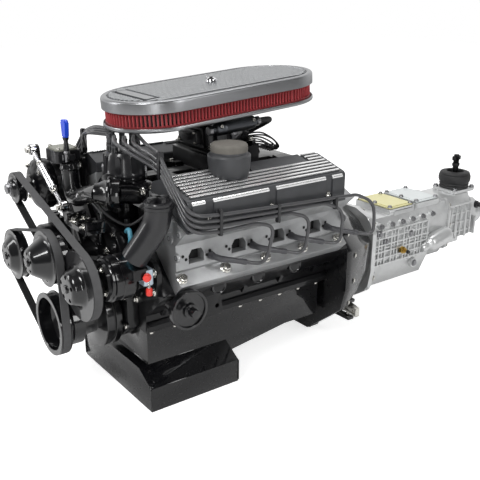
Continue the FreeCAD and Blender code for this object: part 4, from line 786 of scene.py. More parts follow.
def air_cleaner():
    base = [(60, 432.2), (4, 432), (1.2, 433), (0, 435), (0, 440), (0.8, 441.7), (2.2, 441.7), (3, 440),
            (3.4, 436.4), (60, 436.2)]
    piece("air_cleaner_tray", oval_solid(base, closed=True), SATIN,
          replaced=("air_cleaner_base",), tilted=True)
    neck = [(46, 422.3), (62, 422.3), (62, 430), (66, 434), (66, 436), (46, 436)]
    piece("air_cleaner_neck", lathe(neck, "Z", (0, CLEANER_STATION, 0), 64, closed=True),
          BLACK_POWDER, tilted=True)
    edge = [(3.2, 472.6), (0.6, 472.4), (0, 473), (0, 492.5), (0.5, 495.2), (1.8, 497.4), (4, 498.7),
            (7, 499.1), (11, 499.1), (13.2, 498.6), (14.4, 496.4), (30, 496.2)]
    piece("air_cleaner_lid_shell", oval_solid(edge), SATIN, replaced=("air_cleaner_lid",), tilted=True)
    lid_fins()
    rims = [[(4.5, 437), (5.6, 436.8), (5.6, 443.5), (7.5, 445), (34, 445), (34, 437)],
            [(7.5, 469.5), (5.6, 471), (5.6, 474.6), (34, 474.6), (34, 469.5)]]
    for index, rim in enumerate(rims):
        piece(f"air_filter_rim_{index}", oval_solid(rim, closed=True), RED_RUBBER, tilted=True)
    # The filter's core: dark red, painted shade between the pleats
    piece("air_filter_core", oval_solid([(13.5, 444), (13.5, 470.5), (32, 470.5), (32, 444)], closed=True),
          RED_SHADOW, replaced=("air_filter",), tilted=True)
    filter_pleats()
    nut = lathe([(4.2, 499.3), (12, 499.3), (13, 500.5), (11, 505), (8, 508.3), (4.2, 508.3)], "Z",
                (0, CLEANER_STATION, 0), 40, closed=True)
    piece("cleaner_nut_hub", nut, CHROME, "nut", ("cleaner_nut",), tilted=True)
    wings = []
    for side in (LEFT, RIGHT):
        wing = rounded([(5 * side, 500.6), (17 * side, 501.5), (21 * side, 507), (16 * side, 508.4),
                        (9 * side, 505)], 2)
        wings.append(prism(wing, "XZ", CLEANER_STATION - 1.8, CLEANER_STATION + 1.8, 0.8))
    piece("cleaner_nut_wings", wings, CHROME, "nut", tilted=True)


def lid_fins():
    """Lengthwise fins on the lid's dull floor, shorter towards its sides, with a bare pad in front."""
    pitch, border = 11.5, 18.0
    straight = CLEANER_LENGTH - CLEANER_WIDTH
    reach = CLEANER_WIDTH - border
    pad_front, pad_rear = 62.0, 86.0
    fins = []
    for index in range(-9, 10):
        x = index * pitch
        if abs(x) >= reach - 2:
            continue
        half = straight + math.sqrt(reach ** 2 - x ** 2)
        front, rear = CLEANER_STATION - half, CLEANER_STATION + half
        runs = [(front, rear)]
        if abs(x) < 70:
            runs = [(front, pad_front - 8), (pad_rear + 8, rear)]
        for start, end in runs:
            fins.append(slab(x - 3.4, x + 3.4, start, end, 495.6, 499.4, 2.6, 0.9))
    piece("air_cleaner_lid_fins", fins, FIN_TOP, tilted=True)
    floor = oval_solid([(15, 496.0), (15, 496.9), (16, 497.0), (30, 497.0), (30, 496.0)], closed=True)
    piece("air_cleaner_lid_floor", [floor, prism([point for point, _ in oval_ring(29)], "XY", 496.0, 497.0,
                                                 0)], LID_FLOOR, tilted=True)
    pad = slab(-68, 68, pad_front, pad_rear, 495.6, 500, 4, 1.4)
    piece("air_cleaner_lid_pad", pad, SATIN, tilted=True)


def filter_pleats():
    """Round-nosed cotton pleats standing side by side round the filter, one tree placing them all."""
    pitch = 8.6
    ring = oval_ring(13, 96)
    places = []
    travelled, due = 0.0, 0.0
    for (point, outward), (following, _) in zip(ring, ring[1:] + ring[:1]):
        step = (Vector(following) - Vector(point)).length
        while due < travelled + step:
            share = (due - travelled) / step
            x, y = Vector(point).lerp(Vector(following), share)
            places.append(((x, y, 457.2), UPWARD, (outward[0], outward[1], 0)))
            due += pitch
        travelled += step
    nose = [(-3, -2.3), (3.0, -2.1), (5.6, -1.3), (6.3, 0), (5.6, 1.3), (3.0, 2.1), (-3, 2.3)]
    pleat = prism(nose, "XY", -12.6, 12.6, bevel=0)
    repeated("air_filter_pleats", pleat, places, RED_COTTON, tilted=True)


# Valve covers and breather

COVER_LENGTH = 432.0
FIN_COUNT = 8
FIN_SLOPE = (333 - 307) / (247 - 150)


def cover_front(side):
    return 36.0 if side == LEFT else 14.0


def side_of(side):
    return "left" if side == LEFT else "right"


def flipped(side, outline):
    return [(x * side, y) for x, y in outline]


def valve_cover(side):
    """Cast cover: rounded shell, finned top with polished tips, a bare pad and recessed bolt channels."""
    name = f"valve_cover_{side_of(side)}"
    front = cover_front(side)
    rear = front + COVER_LENGTH
    outline = rounded([(104, 297.6), (110, 318), (150, 332), (247, 306), (249.5, 300), (249.5, 246),
                       (247, 243), (247, 238.4)], 9, steps=5)
    piece(name + "_shell", prism(flipped(side, outline), "XZ", front, rear, 6, 4), CHARCOAL, replaced=(name,))
    flange = rounded([(102.5, 297.4), (103.5, 302), (249, 243.5), (252.5, 243.5), (252.5, 238.4),
                      (247, 238.4)], 1.2)
    piece(name + "_flange", prism(flipped(side, flange), "XZ", front - 1.5, rear + 1.5, 1, 2), CHARCOAL)
    stations = [front + COVER_LENGTH * share for share in (0.12, 0.5, 0.88)]
    limits = [front + 10]
    for station in stations:
        limits += [station - 10, station + 10]
    limits.append(rear - 10)
    pads, edges = [], []
    for start, end in zip(limits[::2], limits[1::2]):
        outline = rounded([(248.5, 250), (252.4, 250), (252.4, 296), (248.5, 296)], 1, steps=2)
        pads.append(prism(flipped(side, outline), "XZ", start, end, 1.0))
        crest = rounded([(247.5, 296.2), (252.6, 296.2), (252.2, 301), (247.5, 304)], 0.8, steps=2)
        edges.append(prism(flipped(side, crest), "XZ", start, end, 0.6))
    piece(name + "_side_pads", pads, CHARCOAL)
    cover_fins(side, name, front, rear, edges)
    bolts = [((245.5 * side, station, 259), (side * 0.35, 0, 1), REARWARD) for station in stations]
    bolt_heads(name + "_bolts", (10, 9, 9), bolts, slot="chrome")


def cover_fins(side, name, front, rear, edges):
    """Eight lengthwise fins; the upper ones stop at the bare pad of the rear half."""
    pad_front, pad_rear = front + COVER_LENGTH * 0.49, front + COVER_LENGTH * 0.86
    pad_low_x = 244 - 4.3 * 12.2
    walls, tips = [], list(edges)
    for index in range(FIN_COUNT):
        outer = 242 - index * 12.2
        inner = outer - 5.0
        low = 333 - (outer - 150) * FIN_SLOPE
        high = low + 5 * FIN_SLOPE
        runs = [(front + 12, rear - 12)]
        if index > 4:
            runs = [(front + 12, pad_front - 6), (pad_rear + 6, rear - 12)]
        for start, end in runs:
            wall = [(outer, low - 6), (outer, low + 2.6), (inner, high + 2.6), (inner, high - 6)]
            walls.append(prism(flipped(side, wall), "XZ", start, end, 0.5, 1))
            tip = [(outer + 0.2, low + 2.5), (outer - 0.2, low + 4.2), (inner + 0.2, high + 4.2),
                   (inner - 0.2, high + 2.5)]
            tips.append(prism(flipped(side, tip), "XZ", start - 0.2, end + 0.2, 0.5, 1))
    piece(name + "_fin_walls", walls, CHARCOAL)
    piece(name + "_fin_tips", tips, POLISHED)
    top = 333 - (pad_low_x - 150) * FIN_SLOPE
    pad = rounded([(pad_low_x, top - 6), (pad_low_x, top + 2.6), (148, 336), (144, 332), (146, 322)], 1.4)
    piece(name + "_pad", prism(flipped(side, pad), "XZ", pad_front, pad_rear, 1.6, 2), CHARCOAL)


def breather():
    centre = (176, 190, 0)
    can = [(0, 318.3), (38, 318.3), (39.5, 319.5), (42, 324), (44, 334), (46.5, 354), (47, 366), (46.6, 369),
           (45, 371), (42.5, 372.2), (40.5, 373), (40.2, 375), (40, 378), (0, 378)]
    piece("breather_can", lathe(can, "Z", centre, 72), CHARCOAL, replaced=("breather",))
    top = [(40, 377), (40.4, 379), (40.4, 388), (39.6, 391), (37.5, 393.2), (34, 394.2),
           (20, 394.8), (0, 395)]
    piece("breather_top", lathe([(0, 377)] + top, "Z", centre, 72), GREY_FOAM)


# Heads

def head_dressing(side):
    """Painted shade in the bolt holes and deep in the ports, ledge bolts and end face bosses of one head."""
    name = side_of(side)
    face = 210.4
    outward = LEFTWARD if side == LEFT else RIGHTWARD
    holes, shade_plates = [], []
    low, high, half = 172 - 18, 172 + 18, 19.5
    inside = face - 26 + 0.1
    for station in bore_stations(side):
        port = station - 14.6
        for step in (-34, -26, 26, 34):
            height = 176 if abs(step) == 34 else 168
            holes.append((((face - 0.2) * side, port + step, height), outward, UPWARD))
        outline = [(port - half, low), (port + half, low)]
        outline += [(port + half * math.cos(step * math.pi / 12),
                     high - half + half * math.sin(step * math.pi / 12)) for step in range(13)]
        # A near-black sheet deep in each port: painted shade for the port's dark inside
        shade_plates.append(prism(outline, "YZ", *sorted((inside * side, (inside + 0.8) * side)), 0))
    piece(f"port_depths_{name}", shade_plates, PORT_PAINTED_SHADE)
    # Near-black discs at the port bolt holes: painted shade for the holes
    repeated(f"port_bolt_holes_{name}", lathe([(0, -0.2), (2.8, -0.2), (3.6, 0.5), (3.0, 0.9), (2.4, 0.3),
                                               (0, 0.3)], steps=16), holes, HOLE_PAINTED_SHADE, slot="cast_aluminium")
    ledge = 208.4 + 1 + 35
    x = (62 + ledge) * ROOT_HALF * side
    z = (ledge - 62) * ROOT_HALF
    direction = (side * ROOT_HALF, 0, ROOT_HALF)
    between = [station - BORE_PITCH / 2 for station in bore_stations(side)]
    between.append(bore_stations(side)[3] + BORE_PITCH / 2)
    bolts = [((x, station, z), direction, REARWARD) for station in between]
    head = merged(hex_bolt(17, 12, 12.5), lathe([(0, 11.9), (4.2, 11.9), (4.8, 12.4), (0, 12.5)], steps=16))
    repeated(f"head_bolts_{name}", head, bolts, ZINC, replaced=("head_bolts",))
    front = 30.0 if side == LEFT else 8.0
    rear = front + 475
    bosses, threads = [], []
    for y, facing, sign in ((front, FRONTWARD, -1), (rear, REARWARD, 1)):
        for px, pz, radius in ((214, 178, 10), (226, 232, 8), (176, 262, 11), (132, 226, 12), (188, 214, 14)):
            bosses.append(lathe([(0, y - 2 * sign), (radius, y - 2 * sign),
                                 (radius - 0.6, y + 2.2 * sign), (radius - 1.4, y + 3 * sign),
                                 (0, y + 3 * sign)], "Y", (px * side, 0, pz), 28))
            threads.append(((px * side, y + 3.05 * sign, pz), facing, UPWARD))
    piece(f"head_end_bosses_{name}", bosses, HEAD_ALUMINIUM)
    # Near-black discs in the end face bosses: painted shade for their holes
    repeated(f"head_end_holes_{name}", lathe([(0, -0.4), (4.6, -0.4), (5.4, 0.15), (4.4, 0.1), (4.2, -0.2),
                                              (0, -0.2)], steps=20), threads, HOLE_PAINTED_SHADE,
             slot="cast_aluminium")


# Block and sump

def block_dressing():
    """Cast ribs, pan rail bosses and freeze plug cups on both sides of the block."""
    ribs = []
    for side in (LEFT, RIGHT):
        shift = 0 if side == LEFT else -22
        for index in range(5):
            y = 40 + shift * 0.5 + BORE_PITCH * index
            rib = rounded([(128, 14), (136, 14), (150, 44), (186, 86), (180, 92), (140, 52)], 4)
            ribs.append(prism(flipped(side, rib), "XZ", y - 5, y + 5, 2.5, 3))
        rail = rounded([(118, -21.4), (130, -21.4), (132, -8), (128, 2), (118, 2)], 2)
        ribs.append(prism(flipped(side, rail), "XZ", 0.4, 534.6, 1.5))
        deck = rounded([(152, 62), (178, 86), (184, 82), (162, 58)], 3)
        ribs.append(prism(flipped(side, deck), "XZ", 20, 515, 2, 2))
    piece("block_side_ribs", ribs, BLACK_CASTING)
    cups = []
    for side, outward in ((LEFT, LEFTWARD), (RIGHT, RIGHTWARD)):
        for index in range(3):
            y = bore_stations(side)[0] + BORE_PITCH * (index + 0.5)
            cups.append(((193 * side, y, 78), outward, UPWARD))
    cup = lathe([(0, -1.5), (13, -1.5), (15, 0.4), (17.5, 1.2), (19.4, 0.2), (19.8, -2), (0, -2)], steps=40)
    repeated("block_core_plugs", cup, cups, BLACK_ENAMEL)


def sump_dressing():
    """Bolts along the pan rail, the drain plug and the welded seams of the pressed sump."""
    bolts = []
    for side in (LEFT, RIGHT):
        for index in range(9):
            bolts.append(((114.5 * side, 18 + index * 62, -26.4), (0, 0, -1), REARWARD))
    bolt_heads("sump_rail_bolts", (10, 6, 8), bolts)
    piece("sump_drain_boss", lathe([(0, 222), (17, 222), (17, 226), (15, 227.5), (0, 227.5)], "Y",
                                   (60, 0, -176), 40), BLACK_ENAMEL)
    bolt_heads("sump_drain_plug", (17, 8, 12), [((60, 227.4, -176), REARWARD, UPWARD)])
    seams = []
    for side in (LEFT, RIGHT):
        for y in (-18, 223):
            seams.append(lathe([(0, -194), (1.5, -193), (1.5, -141), (0, -140)], "Z", (170 * side, y, 0), 10))
    piece("sump_corner_welds", seams, BLACK_ENAMEL)


# Pipes, hoses and wires along smooth curves

def smooth_path(points, per_span=10):
    """Points read from a NURBS spline that has these as its control points."""
    curve = bpy.data.curves.new("path", "CURVE")
    curve.dimensions = "3D"
    curve.resolution_u = per_span
    spline = curve.splines.new("NURBS")
    spline.points.add(len(points) - 1)
    for item, point in zip(spline.points, points):
        item.co = (*point, 1)
    spline.order_u = 3
    spline.use_endpoint_u = True
    holder = bpy.data.objects.new("path", curve)
    scene.collection.objects.link(holder)
    mesh = bpy.data.meshes.new_from_object(holder.evaluated_get(bpy.context.evaluated_depsgraph_get()))
    path = [vert.co.copy() for vert in mesh.vertices]
    bpy.data.objects.remove(holder)
    bpy.data.meshes.remove(mesh)
    return path


def tube(points, radius, steps=14, per_span=10, taper=None):
    """Round tube along a smooth curve; taper gives the end radius."""
    path = smooth_path(points, per_span)
    shape = bmesh.new()
    lengths = [0.0]
    for first, second in zip(path, path[1:]):
        lengths.append(lengths[-1] + (second - first).length)
    side = (path[1] - path[0]).orthogonal().normalized()
    rings = []
    for index, point in enumerate(path):
        ahead = path[min(index + 1, len(path) - 1)] - path[max(index - 1, 0)]
        ahead.normalize()
        side = (side - ahead * side.dot(ahead)).normalized()
        other = ahead.cross(side)
        size = radius
        if taper:
            size = radius + (taper - radius) * lengths[index] / lengths[-1]
        rings.append([shape.verts.new(point + side * (size * math.cos(2 * math.pi * step / steps))
                                      + other * (size * math.sin(2 * math.pi * step / steps)))
                      for step in range(steps)])
    for first, second in zip(rings, rings[1:]):
        for step in range(steps):
            following = (step + 1) % steps
            shape.faces.new((first[step], first[following], second[following], second[step]))
    for ring in (rings[0], rings[-1]):
        shape.faces.new(ring)
    bmesh.ops.recalc_face_normals(shape, faces=shape.faces)
    return shape


def rod(start, end, profile, steps=20):
    """Turn a profile of (radius, share of the length) about the line from start to end."""
    run = Vector(end) - Vector(start)
    return onto(lathe([(radius, share * run.length) for radius, share in profile], steps=steps), start, run)


# Pumps, generator and their brackets

def case_bolts(name, x, z, y, radius, count, start):
    """Small bolts in a ring on the front of a turned case."""
    bolt_heads(name, (9, 6, 7.5), ring_places(x, y, z, radius, count, FRONTWARD, start))


def steering_pump():
    x, z, r = 118, 126, 50
    can = [(8.6, -112), (19, -112), (20, -111), (20, -101), (22, -100), (r - 9, -97), (r - 5, -94),
           (r - 3, -91), (r - 3, -87), (r, -85), (r, -70), (r - 1.2, -69), (r - 1.2, -66), (r, -65), (r, -41),
           (r - 2, -38), (r - 8, -32), (0, -32)]
    piece("steering_pump_can", lathe([(0, -100), (8.6, -100)] + can, "Y", (x, 0, z), 80), BLACK_POWDER,
          replaced=("steering_pump",))
    piece("steering_pump_lug", slab(x + 20, x + 86, -66, -31, z + 18, z + 41, 6, 2), BLACK_CASTING)
    plate = rounded([(x + 46 * math.sin(a), z + 46 * math.cos(a)) for a in
                     [math.radians(v) for v in (20, 55, 100, 145, 190, 235, 280, 325)]], 8)
    face = prism(plate, "XZ", -103, -95, 1.2)
    piece("steering_pump_face", face, BLACK_CASTING)
    case_bolts("steering_pump_bolts", x, z, -103, 35, 4, 0.5)
    port = slab(176, 204, -42, -20, 128, 162, 4, 1.5)
    piece("steering_pump_port_block", port, PALE_BLUE)
    cap = lathe([(0, -1), (9, -1), (9, 3), (8, 3.6), (8, 9), (7, 10.4), (0, 10.4)], steps=28)
    repeated("steering_pump_red_cap", cap, [((205, -36, 148), (0.8, -0.6, 0.1), UPWARD)], RED_PLASTIC)
    low_cap = rod((202, -32, 136), (206, -33, 118), [(0, 0), (2.6, 0), (2.6, 0.5), (4, 0.55),
                                                     (4, 0.7), (0, 0.7)])
    piece("steering_pump_low_stem", low_cap, ZINC)
    piece("steering_pump_low_cap", rod((206, -33, 124), (208, -34, 108),
                                       [(0, 0), (6, 0), (7, 0.3), (7, 0.9), (6, 1), (0, 1)]), RED_PLASTIC)
    neck = tube([(176, -48, 183), (182, -42, 196), (196, -22, 232), (208, -6, 268),
                 (208, -6, 298)], 28, 40, 8)
    piece("steering_filler_tube", neck, BLACK_PLASTIC, replaced=("steering_filler_neck",))
    lip = lathe([(0, 290), (29.5, 290), (30.5, 291), (30.5, 297), (29.5, 298), (0, 298)], "Z",
                (208, -6, 0), 48)
    piece("steering_filler_lip", lip, BLACK_PLASTIC)
    cap = lathe([(0, 298.3), (29.5, 298.3), (30.5, 299.5), (30.5, 304), (29, 306), (26, 306.4), (24, 304),
                 (0, 303.6)], "Z", (208, -6, 0), 56)
    cross = [prism(rounded([(208 - a, -6 - b), (208 + a, -6 - b), (208 + a, -6 + b), (208 - a, -6 + b)], 3),
                   "XY", 303, 315.5, 2, 3) for a, b in ((5.5, 24), (24, 5.5))]
    piece("steering_filler_cap_cross", merged(cap, *cross), BLACK_PLASTIC, "filler_cap",
          ("steering_filler_cap",))
    hose = tube([(96, -22, 214), (112, -24, 226), (124, -28, 216), (128, -30, 196), (122, -34, 176),
                 (118, -38, 168)], 5, 14)
    piece("blue_vent_hose", hose, BLUE_HOSE)


def cooler_compressor():
    x, z, r = -198, 104, 58
    body = [(0, -100), (8.6, -100), (8.6, -114), (25, -114), (26, -113), (26, -105), (30, -103),
            (r - 8, -101), (r - 4, -99), (r, -95), (r, -74), (r - 2, -73), (r - 2, -69), (r, -68), (r, -41),
            (r - 3, -38), (r - 3, -31), (r, -28), (r, -15), (r - 3, -12), (0, -12)]
    piece("compressor_case", lathe(body, "Y", (x, 0, z), 80), BLACK_CASTING, replaced=("cooling_compressor",))
    piece("compressor_foot", slab(x + 20, x + 98, -90, -12, z - 62, z - 46, 5, 2), BLACK_CASTING)
    case_bolts("compressor_face_bolts", x, z, -101.5, 44, 6, 0.3)
    fins = []
    for index in range(16):
        turn = 2 * math.pi * index / 16
        outward = (math.sin(turn), 0, math.cos(turn))
        fins.append(((x + (r - 0.5) * outward[0], -55, z + (r - 0.5) * outward[2]), outward, REARWARD))
    rib = prism(rounded([(-12, -1.6), (12, -1.6), (12, 1.6), (-12, 1.6)], 1), "XY", -1, 3.0, 0.8)
    repeated("compressor_ribs", rib, fins, BLACK_CASTING)
    ports = [slab(x - 30, x + 6, -70, -40, z + 52, z + 70, 4, 2)]
    for across, radius, top in ((20, 8, 82), (4, 7, 80)):
        profile = [(0, z + 69), (radius, z + 69), (radius, z + 76), (radius + 2, z + 77),
                   (radius + 2, z + top), (0, z + top)]
        ports.append(lathe(profile, "Z", (x - across, -55, 0), 28))
    piece("compressor_ports", ports, BLACK_CASTING)


def generator():
    x, z, r = -214, 260, 60
    case = [(0, -100), (8.6, -100), (8.6, -112), (23, -112), (24, -111), (26, -107), (40, -104), (r - 6, -97),
            (r - 1, -92), (r, -88), (r, -67), (r - 2, -65), (r - 5, -64), (r - 5, -48), (r - 2, -47),
            (r, -45), (r, -25), (r - 3, -20), (r - 10, -14), (0, -14)]
    piece("generator_case", lathe(case, "Y", (x, 0, z), 80), BLACK_CASTING, replaced=("generator",))
    ear = rounded([(x - 18, z + 46), (x + 18, z + 46), (x + 12, z + 96), (x - 12, z + 96)], 8)
    piece("generator_ear", prism(ear, "XZ", -90.7, -84, 1.5), BLACK_CASTING)
    slots, spokes = [], []
    for index in range(18):
        turn = 2 * math.pi * index / 18
        outward = (math.sin(turn), 0, math.cos(turn))
        slots.append(((x + (r - 0.4) * outward[0], -80, z + (r - 0.4) * outward[2]), outward, REARWARD))
        normal = (0.447 * outward[0], -0.894, 0.447 * outward[2])
        along = (0.894 * outward[0], 0.447, 0.894 * outward[2])
        spokes.append(((x + 47 * outward[0], -100.5, z + 47 * outward[2]), normal, along))
    # Near-black slots on the case: painted shade for the generator's side and front vents
    slot = prism(rounded([(-7, -3), (7, -3), (7, 3), (-7, 3)], 2.6), "XY", -2, 0.6, 0.2, 1)
    repeated("generator_side_vents", slot, slots, HOLE_PAINTED_SHADE, slot="painted_black")
    vent = prism(rounded([(-6, -2.2), (6, -3.2), (6, 3.2), (-6, 2.2)], 2), "XY", -1, 0.15, 0.1, 1)
    repeated("generator_front_vents", vent, spokes, HOLE_PAINTED_SHADE, slot="painted_black")
    case_bolts("generator_through_bolts", x, z, -97, 54, 4, 0.8)
    laminations = []
    for index in range(6):
        y = -62.4 + index * 2.6
        laminations.append(lathe([(54, y), (56.2, y + 0.3), (56.2, y + 1.6), (54, y + 1.9)], "Y", (x, 0, z),
                                 72, closed=True))
    piece("generator_core_plates", laminations, STEEL)


def adjusting_link():
    """Chrome turnbuckle: knurled sleeve, threaded ends with lock nuts, and ball rod ends on their bolts."""
    low, high = Vector((-53, -98, 246)), Vector((-214, -98, 345))
    run = (low - high).normalized()
    length = (low - high).length
    bar = [(0, 0.05), (4.6, 0.05)]
    for index in range(13):
        share = 0.07 + index * 0.016
        bar += [(5.0, share), (4.3, share + 0.008)]
    bar += [(4.6, 0.28), (7.6, 0.28), (8.6, 0.29), (8.6, 0.71), (7.6, 0.72), (4.6, 0.72)]
    for index in range(13):
        share = 0.73 + index * 0.016
        bar += [(5.0, share), (4.3, share + 0.008)]
    bar += [(4.6, 0.95), (0, 0.95)]
    piece("link_bar", rod(high, low, bar, 28), CHROME, replaced=("generator_link",))
    knurl = []
    for index in range(24):
        turn = 2 * math.pi * index / 24
        side = run.orthogonal().normalized()
        outward = Matrix.Rotation(turn, 3, run) @ side
        knurl.append((high + run * length * 0.5 + outward * 8.4, outward, run))
    rib = prism(rounded([(-length * 0.19, -0.7), (length * 0.19, -0.7), (length * 0.19, 0.7),
                         (-length * 0.19, 0.7)], 0.5), "XY", -0.6, 0.7, 0.3, 1)
    repeated("link_flutes", rib, knurl, CHROME)
    nuts = [(high + run * length * share, run, UPWARD) for share in (0.245, 0.725)]
    bolt_heads("link_lock_nuts", (14, 6), nuts, slot="chrome")
    eyes, balls = [], []
    for end in (low, high):
        ring = [(7.2, -6), (8.5, -7), (12, -7), (13.2, -5.5), (13.2, 5.5), (12, 7), (8.5, 7), (7.2, 6)]
        eyes.append(lathe(ring, "Y", end, 40, closed=True))
        ball = [(4.6, -8), (7.4, -4), (8.0, 0), (7.4, 4), (4.6, 8), (0, 8)]
        balls.append(lathe([(0, -8)] + ball, "Y", end, 32))
    piece("link_rod_ends", eyes, CHROME)
    piece("link_balls", balls, STEEL)
    heads = [((end.x, end.y - 8, end.z), FRONTWARD, UPWARD) for end in (low, high)]
    bolt_heads("link_end_bolts", (13, 8, 9), heads, slot="chrome")


def front_castings():
    """Painted mounting plates, their feet and bolts between the block's front face and the accessories."""
    outlines = (
        (LEFT, [(98, 40), (150, 70), (200, 92), (204, 150), (186, 168), (130, 176), (98, 150)]),
        (RIGHT, [(98, 40), (226, 44), (262, 110), (292, 250), (268, 330), (132, 330), (132, 240), (98, 190)]),
    )
    for side, points in outlines:
        name = side_of(side)
        outline = rounded(flipped(side, points), 10)
        piece(f"accessory_plate_{name}", prism(outline, "XZ", -12, -0.3, 1.5), BLACK_CASTING,
              replaced=(f"accessory_bracket_{name}",))
    piece("accessory_plate_feet", [lathe([(0, -30.6), (8, -30.6), (9, -29.5), (9, -12), (0, -12)], "Y",
                                         (150, 0, height), 28) for height in (110, 150)], BLACK_CASTING)
    bolts = [((x, -12.2, z), FRONTWARD, UPWARD) for x, z in
             ((108, 60), (188, 104), (192, 148), (120, 164), (-108, 60), (-216, 60), (-146, 312), (-258, 316),
              (-276, 240), (-112, 180))]
    bolt_heads("accessory_plate_bolts", (13, 8, 10), bolts)


def timing_and_pump():
    """Bolts, pads and ribs on the timing cover and the water pump, and the pump's pipes."""
    rim = [(-88, 60), (-78, 148), (-44, 192), (44, 192), (78, 148), (88, 60), (90, -10), (-90, -10),
           (-52, -40), (52, -40)]
    bolt_heads("timing_cover_bolts", (11, 7, 9), [((x, -28.2, z), FRONTWARD, UPWARD) for x, z in rim])
    bolt_heads("water_pump_bolts", (11, 8, 9), ring_places(0, -50, 154, 55, 6, FRONTWARD, 0.35))
    pads = []
    for x, z in rim:
        pads.append(lathe([(0, -30.6), (8.6, -30.6), (10, -28), (0, -28)], "Y", (x, 0, z), 24))
    piece("timing_cover_pads", pads, BLACK_CASTING)
    ribs = []
    for index in range(8):
        turn = 2 * math.pi * index / 8
        rib = prism(rounded([(28, -1.8), (56, -1.8), (56, 1.8), (28, 1.8)], 1), "XY", 0, 10, 1.2)
        fan = Matrix.Rotation(turn, 4, "Y") @ Matrix.Rotation(math.pi / 2, 4, "X")
        swung(rib, Matrix.Translation((0, -50, 154)) @ fan)
        ribs.append(rib)
    piece("water_pump_ribs", ribs, BLACK_CASTING)
    elbow = [(-91, -60, 325), (-90, -60, 296), (-84, -60, 262), (-60, -61, 256), (-10, -63, 276),
             (40, -67, 294), (70, -66, 298)]
    rear = [(82, -36, 296), (76, -4, 288), (72, 31.7, 280)]
    piece("water_outlet_pipe", [tube(elbow, 20, 40, 12), tube(rear, 20, 40, 12)], BLACK_ENAMEL,
          replaced=("water_outlet",))
    flare = lathe([(0, -4), (21.5, -4), (22, 2), (24, 8), (28.5, 16), (33.5, 23), (36, 25), (36.6, 28),
                   (36, 31), (33, 33), (31, 36), (30.4, 50), (0, 50)], steps=72)
    piece("water_outlet_flare", onto(flare, (62, -69, 298), (0.58, 0.8, 0)), BLACK_ENAMEL)
    bead = rod((-90.2, -60, 316), (-91.4, -60, 331), [(0, 0), (20, 0), (22.4, 0.25), (22.4, 0.45),
                                                      (20.4, 0.7), (20.4, 1), (17.5, 1), (17.5, 0.6),
                                                      (0, 0.6)], 44)
    piece("water_outlet_bead", bead, BLACK_ENAMEL)
    flange = prism(rounded([(36, 256), (108, 256), (108, 304), (36, 304)], 14), "XZ", 20, 31.4, 2)
    piece("water_outlet_flange", flange, BLACK_ENAMEL)
    bolt_heads("water_outlet_bolts", (13, 8, 10), [((44, 20, 264), FRONTWARD, UPWARD),
                                                   ((100, 20, 296), FRONTWARD, UPWARD)])
    saddle = [slab(-30, 74, -106, -56, 213, 224, 6, 2), slab(-30, -20, -104, -58, 222, 236, 3, 2),
              slab(20, 30, -104, -58, 222, 232, 3, 2), slab(64, 74, -104, -58, 222, 238, 3, 2),
              slab(-26, 70, -74, -66, 186, 216, 3, 2)]
    piece("pump_saddle", saddle, BLACK_ENAMEL)
    bolt_heads("pump_saddle_studs", (13, 8, 12), [((x, y, 224), UPWARD, REARWARD)
                                                  for x, y in ((-6, -94), (46, -94), (-6, -70), (46, -70))])


# Ignition

CAP_PLACE = (0, 30)


def tower_places():
    places = []
    for index in range(8):
        turn = 2 * math.pi * (index + 0.5) / 8
        places.append((CAP_PLACE[0] + 30 * math.sin(turn), CAP_PLACE[1] + 30 * math.cos(turn)))
    return places


def distributor():
    x, y = CAP_PLACE
    housing = [(0, 212.3), (18, 212.3), (19, 214), (19, 232), (20, 233), (20, 240), (19, 241), (19, 256),
               (22, 260), (30, 264.5), (40, 271), (44, 277), (44, 300), (45.4, 302), (45.4, 309),
               (44, 311.9), (0, 311.9)]
    piece("distributor_case", lathe(housing, "Z", (x, y, 0), 64), BLACK_CASTING,
          replaced=("distributor_housing",))
    cap = [(0, 312.4), (47, 312.4), (47.6, 314), (47.6, 320), (46.4, 322), (46, 335), (44, 350), (42, 360),
           (38.5, 366), (34, 368.3), (16, 368.8), (0, 369)]
    piece("distributor_cap_shell", lathe(cap, "Z", (x, y, 0), 72), BLACK_PLASTIC,
          replaced=("distributor_cap",))
    flutes = []
    for index in range(8):
        turn = 2 * math.pi * index / 8
        outward = (math.sin(turn), math.cos(turn), 0)
        flutes.append(((x + 44 * outward[0], y + 44 * outward[1], 341), outward, UPWARD))
    flute = prism(rounded([(-19, -7), (19, -5), (19, 5), (-19, 7)], 3), "XY", -6, 2.6, 1.6)
    repeated("distributor_cap_lobes", flute, flutes, BLACK_PLASTIC)
    tower = [(0, -3), (9, -3), (8, 0), (7.4, 6), (7.2, 15), (6.8, 17.5), (0, 17.5)]
    towers = [((px, py, 368), UPWARD, REARWARD) for px, py in tower_places() + [CAP_PLACE]]
    repeated("distributor_towers", lathe(tower, steps=24), towers, BLACK_PLASTIC)
    clips = []
    for turn in (0.6, 0.6 + math.pi):
        outward = (math.sin(turn), math.cos(turn), 0)
        clips.append(((x + 47.5 * outward[0], y + 47.5 * outward[1], 318), outward, UPWARD))
    clip = prism(rounded([(-16, -6), (14, -6), (18, 0), (14, 6), (-16, 6)], 3), "XY", -1.5, 1.8, 0.8)
    repeated("distributor_clips", clip, clips, STEEL)
    advance = [(0, -3), (30, -3), (32, 0), (33, 3), (33, 6), (30, 9), (24, 13), (20, 20), (10, 24), (7, 25),
               (7, 33), (5, 34), (5, 44), (0, 44)]
    direction = Vector((0.42, -0.9, 0.04))
    piece("distributor_advance_can", onto(lathe(advance, steps=56), (18, -14, 290), direction), BLACK_ENAMEL)
    arm = slab(-9, 20, -22, 22, 280, 290, 4, 1.5)
    piece("distributor_advance_arm", arm, BLACK_CASTING)
    lead = tube([(33, -48, 292), (44, -70, 292), (66, -64, 262), (84, -40, 236), (98, -8, 220),
                 (110, 20, 250)], 3.2, 10)
    piece("vacuum_hose", lead, RUBBER)


